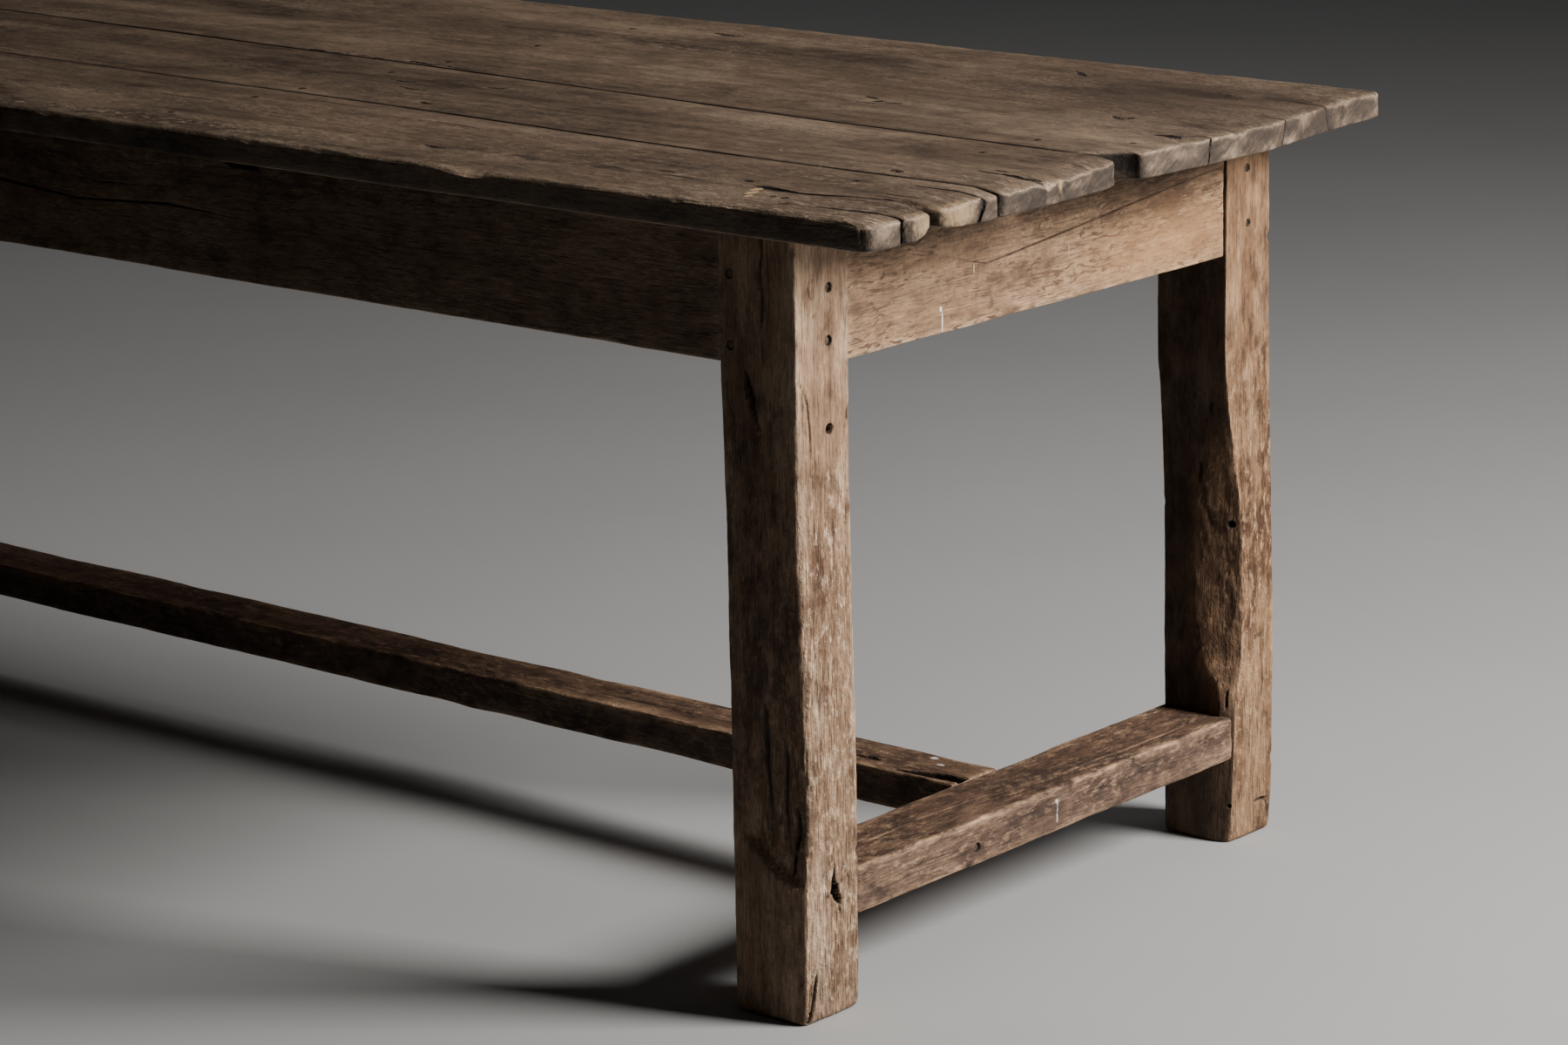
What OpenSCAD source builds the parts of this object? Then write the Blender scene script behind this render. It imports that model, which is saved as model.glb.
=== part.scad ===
// Farmhouse table: a board top on four hewn legs, joined by aprons and low stretchers.
// Millimetres, +Z up. The origin is on the floor under the middle of the top.
// The long sides face -Y (front) and +Y (back); the ends face -X (left) and +X (right).

/* [Table] */
// Length of the top
top_l = 2660; // [2100:10:3000]
// Width of the top
top_w = 841; // [780:1:960]
// Height from the floor to the upper face of the top
table_h = 760; // [720:2:820]
// How far the top stands past the leg frame at each end
end_overhang = 124; // [60:1:180]
// How far the top stands past the leg frame at the front
front_overhang = 51; // [25:1:80]
// How far the top stands past the leg frame at the back
back_overhang = 60; // [25:1:80]

/* [Boards] */
// Thickness of the boards of the top
top_t = 26; // [22:1:38]
// Width of the front board at the right end
front_board_right_w = 197; // [160:1:220]
// Width of the front board at the left end
front_board_left_w = 286; // [200:1:320]
// Width of the middle board at the right end
middle_board_right_w = 189; // [150:1:220]
// Width of the middle board at the left end
middle_board_left_w = 210; // [160:1:240]
// Open joint between two boards
board_gap = 2; // [0.5:0.5:5]
// Depth of the wear along the right end
right_end_wear = 44; // [20:1:60]
// Depth of the wear along the left end
left_end_wear = 30; // [10:1:60]
// Width of the worn round along the front edge of the top
front_edge_wear = 7; // [2:0.5:11]
// Width of the worn round along the back edge of the top
back_edge_wear = 11; // [2:0.5:11]

/* [Legs] */
// Depth of a front leg along the length of the table
front_leg_d = 88; // [76:1:110]
// Depth of a back leg along the length of the table
back_leg_d = 83; // [76:1:110]
// Width of a front leg at the apron
front_leg_w = 73; // [64:1:95]
// Width that a front leg gains towards its foot
front_leg_swell = 5; // [0:0.5:12]
// Width of a back leg at the apron
back_leg_w = 75; // [66:1:95]
// Width that a back leg loses on its inner side towards its foot
back_leg_waist = 18; // [6:0.5:22]
// How far a back leg leans out past the frame towards its foot
back_leg_lean = 13; // [0:0.5:20]
// Depth that a leg loses at its foot
foot_taper = 10; // [2:0.5:16]
// Depth of the hollow where the bark edge of a back leg was hewn away
back_wane_depth = 16; // [4:0.5:20]
// Depth of the worn hollow on the outer edge of a front leg
front_wane_depth = 9; // [2:0.5:14]

/* [Aprons] */
// Height of the aprons
apron_h = 128; // [100:1:150]
// Thickness of the aprons
apron_t = 30; // [24:1:38]
// How far the aprons stand back from the outer faces of the legs
apron_setback = 1; // [0:0.5:4]
// Open shoulder of the end aprons at the back legs
apron_shoulder_gap = 3; // [0:0.5:6]

/* [Stretchers] */
// Width of the end stretchers along the length of the table
end_stretcher_w = 84; // [60:1:88]
// Thickness of the end stretchers
end_stretcher_t = 45; // [34:1:55]
// Height of the underside of the end stretchers over the floor
stretcher_z = 88; // [60:1:140]
// Width of the centre stretcher
centre_stretcher_w = 70; // [50:1:90]
// Thickness of the centre stretcher
centre_stretcher_t = 39; // [28:1:45]
// How far the centre stretcher lies to the front of the middle
centre_stretcher_offset = 4; // [-40:1:40]

/* [Cross bearers] */
// Width of a cross bearer
bearer_w = 118; // [80:1:150]
// Thickness of a cross bearer, let into the aprons
bearer_t = 22; // [14:1:30]

/* [Joinery] */
// Thickness of the apron tenons
apron_tenon_t = 12; // [8:0.5:14]
// Length of the side apron tenons
side_tenon_l = 45; // [36:1:52]
// Length of the end apron tenons
end_tenon_l = 50; // [40:1:52]
// Length of the end stretcher tenons
stretcher_tenon_l = 44; // [30:1:50]
// Length of the centre stretcher tenons
centre_tenon_l = 35; // [20:1:45]
// Side clearance of a tenon in its mortise
joint_fit = 0.2; // [0.1:0.05:0.4]
// Diameter of the oak pegs
peg_d = 9; // [7:0.5:11]
// Diameter of the nail shanks
nail_d = 4.5; // [3:0.5:6]
// Diameter of the nail heads
nail_head_d = 9; // [7:0.5:13]
// Length of the nails under the head
nail_l = 46; // [38:1:47]

/* [Hidden] */

// One overrun for every cut
over = 1;
small_fn = 24;

// Clearance round a peg and round a nail
peg_fit = 0.1;
nail_fit = 0.1;

// The leg frame, and how far its middle lies off the middle of the top
frame_l = top_l - 2 * end_overhang;
frame_w = top_w - front_overhang - back_overhang;
frame_y = (front_overhang - back_overhang) / 2;
leg_h = table_h - top_t;

// Aprons
apron_z = leg_h - apron_h;
tenon_top_drop = 25;
tenon_bottom_rise = 10;
tenon_h = apron_h - tenon_top_drop - tenon_bottom_rise;
tenon_z = apron_z + tenon_bottom_rise;
tenon_set = apron_setback + (apron_t - apron_tenon_t) / 2;

// Cross bearers stand at the thirds of the frame
bearer_x = frame_l / 6;

// Stretchers
stretcher_tenon_w = 42;
stretcher_tenon_t = 24;
stretcher_top = stretcher_z + end_stretcher_t;
centre_tenon_w = 36;
centre_tenon_t = 18;
centre_z = stretcher_top - centre_stretcher_t;
centre_y = frame_y - centre_stretcher_offset;

// Leg widths at the stretchers, measured in from the side plane of the frame
front_low_w = front_leg_w + front_leg_swell;
back_low_w = back_leg_w - back_leg_waist;

// Pegs: drop under the top of the leg, and place in from the frame's planes
peg_l = 50;
side_peg_l = 36;
peg_sink = 1;
front_peg_drops = [58, 105.5];
back_peg_drops = [45, 100];
side_peg_drops = [47, 111];
front_peg_in = 45;
back_peg_in = 40;
side_peg_in = 13;
plug_l = 30;
plug_from_side = 255;
plug_rise = 17;

// An old peg hole stands open in each front leg
old_hole_drop = 185;
old_hole_depth = 30;

// Nails
nail_head_t = 2;
nail_sink = 0.5;
nail_in = 16;

// Split in the centre stretcher at its right end
split_l = 70;
split_w = 14;
split_depth = 18;
split_from_edge_share = 0.38;

// Shares of the height of a leg, from the floor up, where its outline turns
leg_turn_shares = [0, 0.16, 0.31, 0.44, 0.55, 0.67, 0.74, 1];
// Shares of the swell of a front leg at those heights
front_swell_shares = [0.8, 1, 1, 0.7, 0.4, 0.15, 0, 0];
// Shares of the waist of a back leg at those heights
back_waist_shares = [1, 1, 0.93, 0.8, 0.62, 0, 0, 0];
// Shares of the outward lean of a back leg at those heights
back_lean_shares = [0.6, 1, 0.95, 0.65, 0.4, 0.15, 0.08, 0];
// Shares of the foot taper of a front and a back leg at those heights
front_taper_shares = [0.7, 0.6, 0.55, 0.5, 0.45, 0.25, 0, 0];
back_taper_shares = [0.5, 0.1, 0.15, 0.15, 0.1, 0, 0, 0];
// Height shares and depth shares of the hewn hollow on a back leg
back_wane_z_shares = [0, 0.12, 0.2, 0.255, 0.33, 0.43, 0.505, 0.555, 0.605, 0.67];
back_wane_depth_shares = [-0.3, -0.1, -0.1, -0.8, -1, -0.85, -0.5, 0, 0.5, 1.2];
// Height shares and depth shares of the worn hollow on a front leg
front_wane_z_shares = [0.19, 0.23, 0.31, 0.4, 0.48, 0.53];
front_wane_depth_shares = [0, -0.7, -1, -0.9, -0.4, 0];
// Turn of the hollows about the edge of the leg, in degrees
back_wane_turn = 20;
front_wane_turn = -35;

// Round of a worn edge: [share of the inset, share of the drop]
round_shares = [[1, 0], [0.5, 0.13], [0.13, 0.5], [0, 1]];
// Right ends of the boards: [share of the width, share of the wear], over 1 in splits and a broken corner
front_right_shares = [[0, 0.14], [0.03, 0.04], [0.16, 0], [0.26, 0.02], [0.235, 2.1], [0.284, 0.02],
                      [0.46, 0.07], [0.54, 0.23], [0.555, 0.8], [0.57, 0.12], [0.89, 0.27], [1, 0.3]];
middle_right_shares = [[0, 0.3], [0.33, 0.32], [0.87, 0.45], [1, 0.57]];
back_right_shares = [[0, 1.1], [0.1, 0.5], [0.33, 0.36], [0.515, 0.34], [0.685, 0.55],
                     [0.875, 0.72], [0.96, 0.76], [1, 0.74]];
// Left ends of the boards: [share of the width, share of the wear]
front_left_shares = [[0, 1], [0.04, 0.5], [0.12, 0.2], [0.4, 0], [0.75, 0], [1, 0.15]];
middle_left_shares = [[0, 0.3], [0.5, 0.2], [1, 0.35]];
back_left_shares = [[0, 0.2], [0.3, 0.1], [0.62, 0.25], [0.88, 0.4], [0.96, 0.6], [1, 0.9]];
// Nails across each board, as shares of its width
front_nail_shares = [0.3, 0.8];
middle_nail_shares = [0.1, 0.74];
back_nail_shares = [0.075, 0.4, 0.76];

// Where the joints between the boards lie at each end, measured from the front edge
joint_1_right = front_board_right_w;
joint_1_left = front_board_left_w;
joint_2_right = front_board_right_w + middle_board_right_w;
joint_2_left = front_board_left_w + middle_board_left_w;

// Line between two values along the top, with x = 0 in the middle
function along_top(left, right, x) = left + (right - left) * (x + top_l / 2) / top_l;
// Points of a board's end: side is 1 at the right and -1 at the left
function end_points(side, low, high, shares, wear) =
    [for (s = shares) [side * (top_l / 2 - s[1] * wear), -top_w / 2 + low + s[0] * (high - low)]];
function reversed(points) = [for (i = [len(points) - 1:-1:0]) points[i]];
// Points of a leg's outline: a place in from the frame's plane, and a height
function leg_line(base, change, shares) =
    [for (i = [0:len(shares) - 1]) [base + change * shares[i], leg_turn_shares[i] * leg_h]];

// Points of a worn long edge of the top, from its upper face down: side is -1 or 1
function edge_points(side, wear) =
    concat([for (s = round_shares) [side * (top_w / 2 - s[0] * wear), table_h - s[1] * wear]],
           reversed([for (s = round_shares) [side * (top_w / 2 - s[0] * wear), leg_h + s[1] * wear]]));

front_side_outline = concat(leg_line(0, 0, front_swell_shares),
                            reversed(leg_line(front_leg_w, front_leg_swell, front_swell_shares)));
back_side_outline = concat(leg_line(0, -back_leg_lean, back_lean_shares),
                           reversed(leg_line(back_leg_w, -back_leg_waist, back_waist_shares)));
front_end_outline = concat(leg_line(0, 0, front_taper_shares),
                           reversed(leg_line(front_leg_d, -foot_taper, front_taper_shares)));
back_end_outline = concat(leg_line(0, 0, back_taper_shares),
                          reversed(leg_line(back_leg_d, -foot_taper, back_taper_shares)));

// Every row of nails: its place along the table
nail_rows = [-frame_l / 2 + nail_in, -bearer_x, bearer_x, frame_l / 2 - nail_in];

// Puts a shape drawn inward from one corner of the frame at any of its four corners
module corner(side_x, side_y) {
    translate([side_x * frame_l / 2, frame_y + side_y * frame_w / 2, 0])
        flip_x(side_x > 0)
            flip_y(side_y > 0)
                children();
}

module flip_x(on) {
    if (on) mirror([1, 0, 0]) children();
    else children();
}

module flip_y(on) {
    if (on) mirror([0, 1, 0]) children();
    else children();
}

// Draws an outline of [y, z] points and carries it along X from x to x + l
module along_x(x, l) {
    translate([x, 0, 0])
        rotate([90, 0, 90])
            linear_extrude(l)
                children();
}

// Draws an outline of [x, z] points and carries it along Y from y to y + l
module along_y(y, l) {
    translate([0, y + l, 0])
        rotate([90, 0, 0])
            linear_extrude(l)
                children();
}

// A round rod along X or along Y
module rod_x(x, y, z, l, d) {
    translate([x, y, z])
        rotate([0, 90, 0])
            cylinder(h = l, d = d, $fn = small_fn);
}

module rod_y(x, y, z, l, d) {
    translate([x, y, z])
        rotate([-90, 0, 0])
            cylinder(h = l, d = d, $fn = small_fn);
}

// Nails over one board: at each row, at each share of the board's width
module at_nails(low_left, low_right, high_left, high_right, shares) {
    for (x = nail_rows) {
        for (s = shares) {
            low = along_top(low_left, low_right, x);
            high = along_top(high_left, high_right, x);
            translate([x, -top_w / 2 + low + s * (high - low), 0])
                children();
        }
    }
}

module at_front_nails() {
    at_nails(0, 0, joint_1_left, joint_1_right, front_nail_shares) children();
}

module at_middle_nails() {
    at_nails(joint_1_left, joint_1_right, joint_2_left, joint_2_right, middle_nail_shares) children();
}

module at_back_nails() {
    at_nails(joint_2_left, joint_2_right, top_w, top_w, back_nail_shares) children();
}

module nail() {
    translate([0, 0, table_h - nail_sink - nail_head_t])
        cylinder(h = nail_head_t, d = nail_head_d, $fn = small_fn);
    translate([0, 0, table_h - nail_sink - nail_head_t - nail_l])
        cylinder(h = nail_l, d = nail_d, $fn = small_fn);
}

// The hole that a nail leaves in the board and in what lies under it
module nail_hole() {
    hole_z = table_h - nail_sink - nail_head_t;
    translate([0, 0, hole_z])
        cylinder(h = nail_head_t + nail_sink + over, d = nail_head_d + 2 * nail_fit, $fn = small_fn);
    translate([0, 0, hole_z - nail_l - nail_fit])
        cylinder(h = nail_l + nail_fit + over, d = nail_d + 2 * nail_fit, $fn = small_fn);
}

module all_nail_holes() {
    at_front_nails() nail_hole();
    at_middle_nails() nail_hole();
    at_back_nails() nail_hole();
}

// A board of the top, from its plan outline, with worn outer long edges
module board(points) {
    intersection() {
        translate([0, 0, leg_h])
            linear_extrude(top_t)
                polygon(points);
        along_x(-top_l / 2 - over, top_l + 2 * over)
            polygon(concat(edge_points(-1, front_edge_wear), reversed(edge_points(1, back_edge_wear))));
    }
}

module board_front() {
    color("#6f5b47")
        difference() {
            board(concat(end_points(1, 0, joint_1_right - board_gap / 2, front_right_shares, right_end_wear),
                         reversed(end_points(-1, 0, joint_1_left - board_gap / 2,
                                             front_left_shares, left_end_wear))));
            at_front_nails() nail_hole();
        }
}

module board_middle() {
    color("#736150")
        difference() {
            board(concat(end_points(1, joint_1_right + board_gap / 2, joint_2_right - board_gap / 2,
                                    middle_right_shares, right_end_wear),
                         reversed(end_points(-1, joint_1_left + board_gap / 2, joint_2_left - board_gap / 2,
                                             middle_left_shares, left_end_wear))));
            at_middle_nails() nail_hole();
        }
}

module board_back() {
    color("#786654")
        difference() {
            board(concat(end_points(1, joint_2_right + board_gap / 2, top_w,
                                    back_right_shares, right_end_wear),
                         reversed(end_points(-1, joint_2_left + board_gap / 2, top_w,
                                             back_left_shares, left_end_wear))));
            at_back_nails() nail_hole();
        }
}

// A hewn leg: the overlap of its two outlines
module leg_blank(side_outline, end_outline, leg_d) {
    intersection() {
        along_x(0, leg_d) polygon(side_outline);
        along_y(-back_leg_lean - over, back_leg_lean + back_leg_w + front_low_w)
            polygon(end_outline);
    }
}

// A long hollow cut along the outer edge of a leg, at y in from the side plane
module wane(y, turn, z_shares, depth_shares, depth, leg_d) {
    last = len(z_shares) - 1;
    cut_points = [for (i = [0:last]) [depth_shares[i] * depth, z_shares[i] * leg_h]];
    translate([0, y, 0])
        rotate([0, 0, turn])
            along_x(-leg_d, 2 * leg_d)
                polygon(concat([[leg_d, z_shares[0] * leg_h]], cut_points,
                               [[leg_d, z_shares[last] * leg_h]]));
}

// Mortises for the side apron, the end apron and the end stretcher
module mortises(leg_w, low_w, leg_d) {
    translate([leg_d - side_tenon_l - joint_fit, tenon_set - joint_fit, tenon_z - joint_fit])
        cube([side_tenon_l + joint_fit + over, apron_tenon_t + 2 * joint_fit, tenon_h + 2 * joint_fit]);
    translate([tenon_set - joint_fit, leg_w - end_tenon_l - joint_fit, tenon_z - joint_fit])
        cube([apron_tenon_t + 2 * joint_fit, end_tenon_l + joint_fit + over, tenon_h + 2 * joint_fit]);
    translate([(end_stretcher_w - stretcher_tenon_w) / 2 - joint_fit,
               low_w - stretcher_tenon_l - joint_fit,
               stretcher_z + (end_stretcher_t - stretcher_tenon_t) / 2 - joint_fit])
        cube([stretcher_tenon_w + 2 * joint_fit, stretcher_tenon_l + joint_fit + over,
              stretcher_tenon_t + 2 * joint_fit]);
}

// Pegs of the end aprons in one leg; add is the clearance on the radius
module end_pegs_in_leg(place, drops, add, start) {
    for (drop = drops) {
        rod_x(start, place, leg_h - drop, peg_l - start + add, peg_d + 2 * add);
    }
}

// Pegs of the side aprons in one leg
module side_pegs_in_leg(leg_d, add, start) {
    for (drop = side_peg_drops) {
        rod_y(leg_d - side_peg_in, start, leg_h - drop, side_peg_l - start + add, peg_d + 2 * add);
    }
}

module front_leg() {
    difference() {
        leg_blank(front_side_outline, front_end_outline, front_leg_d);
        wane(0, front_wane_turn + 180, front_wane_z_shares, front_wane_depth_shares,
             front_wane_depth, front_leg_d);
        mortises(front_leg_w, front_low_w, front_leg_d);
        end_pegs_in_leg(front_peg_in, front_peg_drops, peg_fit, -over);
        side_pegs_in_leg(front_leg_d, peg_fit, -over);
        rod_x(-over, front_peg_in, leg_h - old_hole_drop, old_hole_depth + over, peg_d);
    }
}

module back_leg() {
    difference() {
        leg_blank(back_side_outline, back_end_outline, back_leg_d);
        wane(back_low_w, back_wane_turn, back_wane_z_shares, back_wane_depth_shares,
             back_wane_depth, back_leg_d);
        mortises(back_leg_w, back_low_w, back_leg_d);
        end_pegs_in_leg(back_peg_in, back_peg_drops, peg_fit, -over);
        side_pegs_in_leg(back_leg_d, peg_fit, -back_leg_lean - over);
    }
}

// A leg in its corner, drilled for the nails that go through the top
module placed_leg(side_x, side_y) {
    difference() {
        corner(side_x, side_y)
            if (side_y < 0) front_leg();
            else back_leg();
        all_nail_holes();
    }
}

module leg_front_right() {
    color("#a58a6c") placed_leg(1, -1);
}

module leg_back_right() {
    color("#9b7f61") placed_leg(1, 1);
}

module leg_front_left() {
    color("#8f765b") placed_leg(-1, -1);
}

module leg_back_left() {
    color("#86705a") placed_leg(-1, 1);
}

// A side apron with its two tenons, let in for the bearers and drilled for the pegs
module side_apron(side_y, leg_d) {
    difference() {
        translate([0, frame_y + side_y * (frame_w / 2 - apron_setback - apron_t / 2), 0]) {
            translate([-frame_l / 2 + leg_d, -apron_t / 2, apron_z])
                cube([frame_l - 2 * leg_d, apron_t, apron_h]);
            translate([-frame_l / 2 + leg_d - side_tenon_l, -apron_tenon_t / 2, tenon_z])
                cube([frame_l - 2 * leg_d + 2 * side_tenon_l, apron_tenon_t, tenon_h]);
        }
        for (side_x = [-1, 1]) {
            translate([side_x * bearer_x - bearer_w / 2 - joint_fit, -frame_w, leg_h - bearer_t])
                cube([bearer_w + 2 * joint_fit, 2 * frame_w, bearer_t + over]);
        }
        for (side_x = [-1, 1]) {
            corner(side_x, side_y) side_pegs_in_leg(leg_d, peg_fit, -over);
        }
    }
}

module apron_front() {
    color("#5f4a37") side_apron(-1, front_leg_d);
}

module apron_back() {
    color("#66503c") side_apron(1, back_leg_d);
}

// An end apron between a front and a back leg
module end_apron(side_x) {
    apron_y0 = frame_y - frame_w / 2 + front_leg_w;
    apron_y1 = frame_y + frame_w / 2 - back_leg_w - apron_shoulder_gap;
    tenon_y1 = frame_y + frame_w / 2 - back_leg_w + end_tenon_l;
    difference() {
        translate([side_x * (frame_l / 2 - apron_setback - apron_t / 2), 0, 0]) {
            translate([-apron_t / 2, apron_y0, apron_z])
                cube([apron_t, apron_y1 - apron_y0, apron_h]);
            translate([-apron_tenon_t / 2, apron_y0 - end_tenon_l, tenon_z])
                cube([apron_tenon_t, tenon_y1 - apron_y0 + end_tenon_l, tenon_h]);
        }
        corner(side_x, -1) end_pegs_in_leg(front_peg_in, front_peg_drops, peg_fit, -over);
        corner(side_x, 1) end_pegs_in_leg(back_peg_in, back_peg_drops, peg_fit, -over);
        all_nail_holes();
    }
}

module apron_right() {
    color("#b08f6a") end_apron(1);
}

module apron_left() {
    color("#7d664f") end_apron(-1);
}

// A flat cross bearer under the boards
module bearer(side_x) {
    bearer_l = frame_w - 2 * apron_setback;
    difference() {
        translate([side_x * bearer_x - bearer_w / 2, frame_y - bearer_l / 2, leg_h - bearer_t])
            cube([bearer_w, bearer_l, bearer_t]);
        all_nail_holes();
    }
}

module bearer_right() {
    color("#5a4838") bearer(1);
}

module bearer_left() {
    color("#5a4838") bearer(-1);
}

// The mortise and the tenon of the centre stretcher share these sizes
module centre_tenon(x, l, add) {
    translate([x, centre_y - centre_tenon_w / 2 - add,
               centre_z + (centre_stretcher_t - centre_tenon_t) / 2 - add])
        cube([l, centre_tenon_w + 2 * add, centre_tenon_t + 2 * add]);
}

module end_stretcher(side_x) {
    body_y0 = frame_y - frame_w / 2 + front_low_w;
    body_y1 = frame_y + frame_w / 2 - back_low_w;
    middle_x = side_x * (frame_l / 2 - end_stretcher_w / 2);
    mortise_x = frame_l / 2 - end_stretcher_w + centre_tenon_l + joint_fit;
    difference() {
        union() {
            translate([middle_x - end_stretcher_w / 2, body_y0, stretcher_z])
                cube([end_stretcher_w, body_y1 - body_y0, end_stretcher_t]);
            translate([middle_x - stretcher_tenon_w / 2,
                       body_y0 - stretcher_tenon_l,
                       stretcher_z + (end_stretcher_t - stretcher_tenon_t) / 2])
                cube([stretcher_tenon_w, body_y1 - body_y0 + 2 * stretcher_tenon_l, stretcher_tenon_t]);
        }
        centre_tenon(-mortise_x, 2 * mortise_x, joint_fit);
    }
}

module stretcher_right() {
    color("#7d6853")
        difference() {
            end_stretcher(1);
            plug(peg_fit, over);
        }
}

module stretcher_left() {
    color("#75614e") end_stretcher(-1);
}

module stretcher_centre() {
    inner_x = frame_l / 2 - end_stretcher_w;
    split_y = centre_y + centre_stretcher_w * (split_from_edge_share - 1 / 2);
    color("#6d5a48")
        difference() {
            union() {
                translate([-inner_x, centre_y - centre_stretcher_w / 2, centre_z])
                    cube([2 * inner_x, centre_stretcher_w, centre_stretcher_t]);
                centre_tenon(-inner_x - centre_tenon_l, 2 * (inner_x + centre_tenon_l), 0);
            }
            translate([inner_x, split_y, stretcher_top - split_depth])
                linear_extrude(split_depth + over)
                    polygon([[0, -split_w / 2], [0, split_w / 2], [-split_l, split_w / 2]]);
        }
}

module end_apron_pegs() {
    color("#8a6f52")
        for (side_x = [-1, 1]) {
            corner(side_x, -1) end_pegs_in_leg(front_peg_in, front_peg_drops, 0, peg_sink);
            corner(side_x, 1) end_pegs_in_leg(back_peg_in, back_peg_drops, 0, peg_sink);
        }
}

module side_apron_pegs() {
    color("#6b543e")
        for (side_x = [-1, 1]) {
            corner(side_x, -1) side_pegs_in_leg(front_leg_d, 0, peg_sink);
            corner(side_x, 1) side_pegs_in_leg(back_leg_d, 0, peg_sink);
        }
}

// The peg in the outer face of the right stretcher
module plug(add, start) {
    rod_x(frame_l / 2 - plug_l - add, frame_y - frame_w / 2 + plug_from_side, stretcher_z + plug_rise,
          plug_l + add + start, peg_d + 2 * add);
}

module stretcher_peg() {
    color("#4a3a2c") plug(0, -peg_sink);
}

module top_nails() {
    color("#3a332e") {
        at_front_nails() nail();
        at_middle_nails() nail();
        at_back_nails() nail();
    }
}

board_front();
board_middle();
board_back();
leg_front_right();
leg_back_right();
leg_front_left();
leg_back_left();
apron_front();
apron_back();
apron_right();
apron_left();
bearer_right();
bearer_left();
stretcher_right();
stretcher_left();
stretcher_centre();
end_apron_pegs();
side_apron_pegs();
stretcher_peg();
top_nails();
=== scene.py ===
# %% [markdown]
# # An old farmhouse table
# The table is a top of three oak boards on four hewn legs, held by aprons, cross bearers, low stretchers,
# oak pegs and forged nails. The frame gives every piece its place and size. This lesson gives every piece
# its worn surface and its wood. Each wooden piece is a closed skin worked out with numpy on a lattice, so
# cracks, rounded arrises, hollows and peg holes are real shapes, and one set of node groups makes the oak.

# %% Load the frame
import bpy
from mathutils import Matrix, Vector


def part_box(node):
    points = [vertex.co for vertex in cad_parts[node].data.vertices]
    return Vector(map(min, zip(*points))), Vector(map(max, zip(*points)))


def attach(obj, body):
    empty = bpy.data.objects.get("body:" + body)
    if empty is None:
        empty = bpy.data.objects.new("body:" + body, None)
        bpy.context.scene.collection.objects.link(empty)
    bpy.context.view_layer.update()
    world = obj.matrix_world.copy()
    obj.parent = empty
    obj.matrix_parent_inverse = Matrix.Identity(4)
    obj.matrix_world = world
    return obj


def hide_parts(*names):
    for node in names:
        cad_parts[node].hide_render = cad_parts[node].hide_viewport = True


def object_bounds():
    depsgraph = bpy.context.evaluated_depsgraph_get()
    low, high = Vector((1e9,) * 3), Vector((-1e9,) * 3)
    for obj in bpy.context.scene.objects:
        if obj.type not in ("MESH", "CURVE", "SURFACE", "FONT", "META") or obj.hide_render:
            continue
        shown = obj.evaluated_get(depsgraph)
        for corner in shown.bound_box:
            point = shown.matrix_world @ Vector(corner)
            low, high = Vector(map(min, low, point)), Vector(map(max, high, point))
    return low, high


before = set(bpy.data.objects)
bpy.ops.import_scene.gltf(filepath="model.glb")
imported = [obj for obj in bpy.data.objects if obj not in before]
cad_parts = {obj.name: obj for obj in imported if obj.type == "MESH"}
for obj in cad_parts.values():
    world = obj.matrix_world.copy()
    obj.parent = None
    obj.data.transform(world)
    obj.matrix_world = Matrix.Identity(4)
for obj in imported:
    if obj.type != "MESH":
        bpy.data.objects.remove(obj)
cad_bounds = [[float(c) for c in corner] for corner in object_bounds()]

import itertools
import math

import bpy
import numpy as np
from mathutils import Matrix, Vector

mm = 0.001
print("pieces in the frame:", len(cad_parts), "box:", cad_bounds)

# %% [markdown]
# ## Where things are measured from
# The marks on the table, such as a crack, a peg or a knot, were measured on the right end of the table. The
# near leg has one outer corner that stands clear, so every such place is given in millimetres from that
# corner: x grows to the right, y grows to the back, z is the height over the floor.

# %% The measuring corner and a few sizes from the frame
def box(name):
    """The low and the high corner of one piece of the frame, in metres."""
    return tuple(np.array(c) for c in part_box(name))


leg_low, leg_high = box("leg_front_right")
corner = np.array([leg_high[0], leg_low[1], 0.0])
top_low, top_high = np.array(cad_bounds)
board_low = box("board_front")[0][2]
table_h = top_high[2]


def place(x=0.0, y=0.0, z=0.0):
    """A place in metres in the frame, from millimetres measured from the near leg's outer corner."""
    return corner + np.array([x, y, z]) * mm


def curve(*pairs, soft=6.0, base=0.0):
    """A function of one length, through (place, value) pairs in mm, plus base in metres.

    It runs straight from pair to pair, and is averaged over soft mm to either side, which rounds its turns.
    """
    at, value = np.array(pairs, float).T * mm
    shifts = np.linspace(-1, 1, 5) * soft * mm
    return lambda t: base + sum(np.interp(t + s, at, value) for s in shifts) / len(shifts)


def x_curve(*pairs, soft=6.0):
    """A y that depends on x, both in mm from the corner, as a function of the frame's x."""
    inner = curve(*pairs, soft=soft)
    return lambda x: corner[1] + inner(x - corner[0])


print("measuring corner:", corner.round(4), "top:", round(table_h, 3))

# %% [markdown]
# ## The camera
# The camera stands where the photographer stood: a little above the table, off its right front corner, with
# a long lens. Its place, its three turns and its lens came from the straight edges of the table.

# %% Camera
camera_from_corner = (2571.87, -3055.81, 1491.85)
turn, tilt, roll = math.radians(40.262), math.radians(14.312), math.radians(-0.906)
lens_mm = 107.62

ahead = Vector((-math.sin(turn) * math.cos(tilt), math.cos(turn) * math.cos(tilt), -math.sin(tilt)))
right = Vector((math.cos(turn), math.sin(turn), 0))
up = right.cross(ahead)
right, up = (right * math.cos(roll) + up * math.sin(roll), up * math.cos(roll) - right * math.sin(roll))

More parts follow.
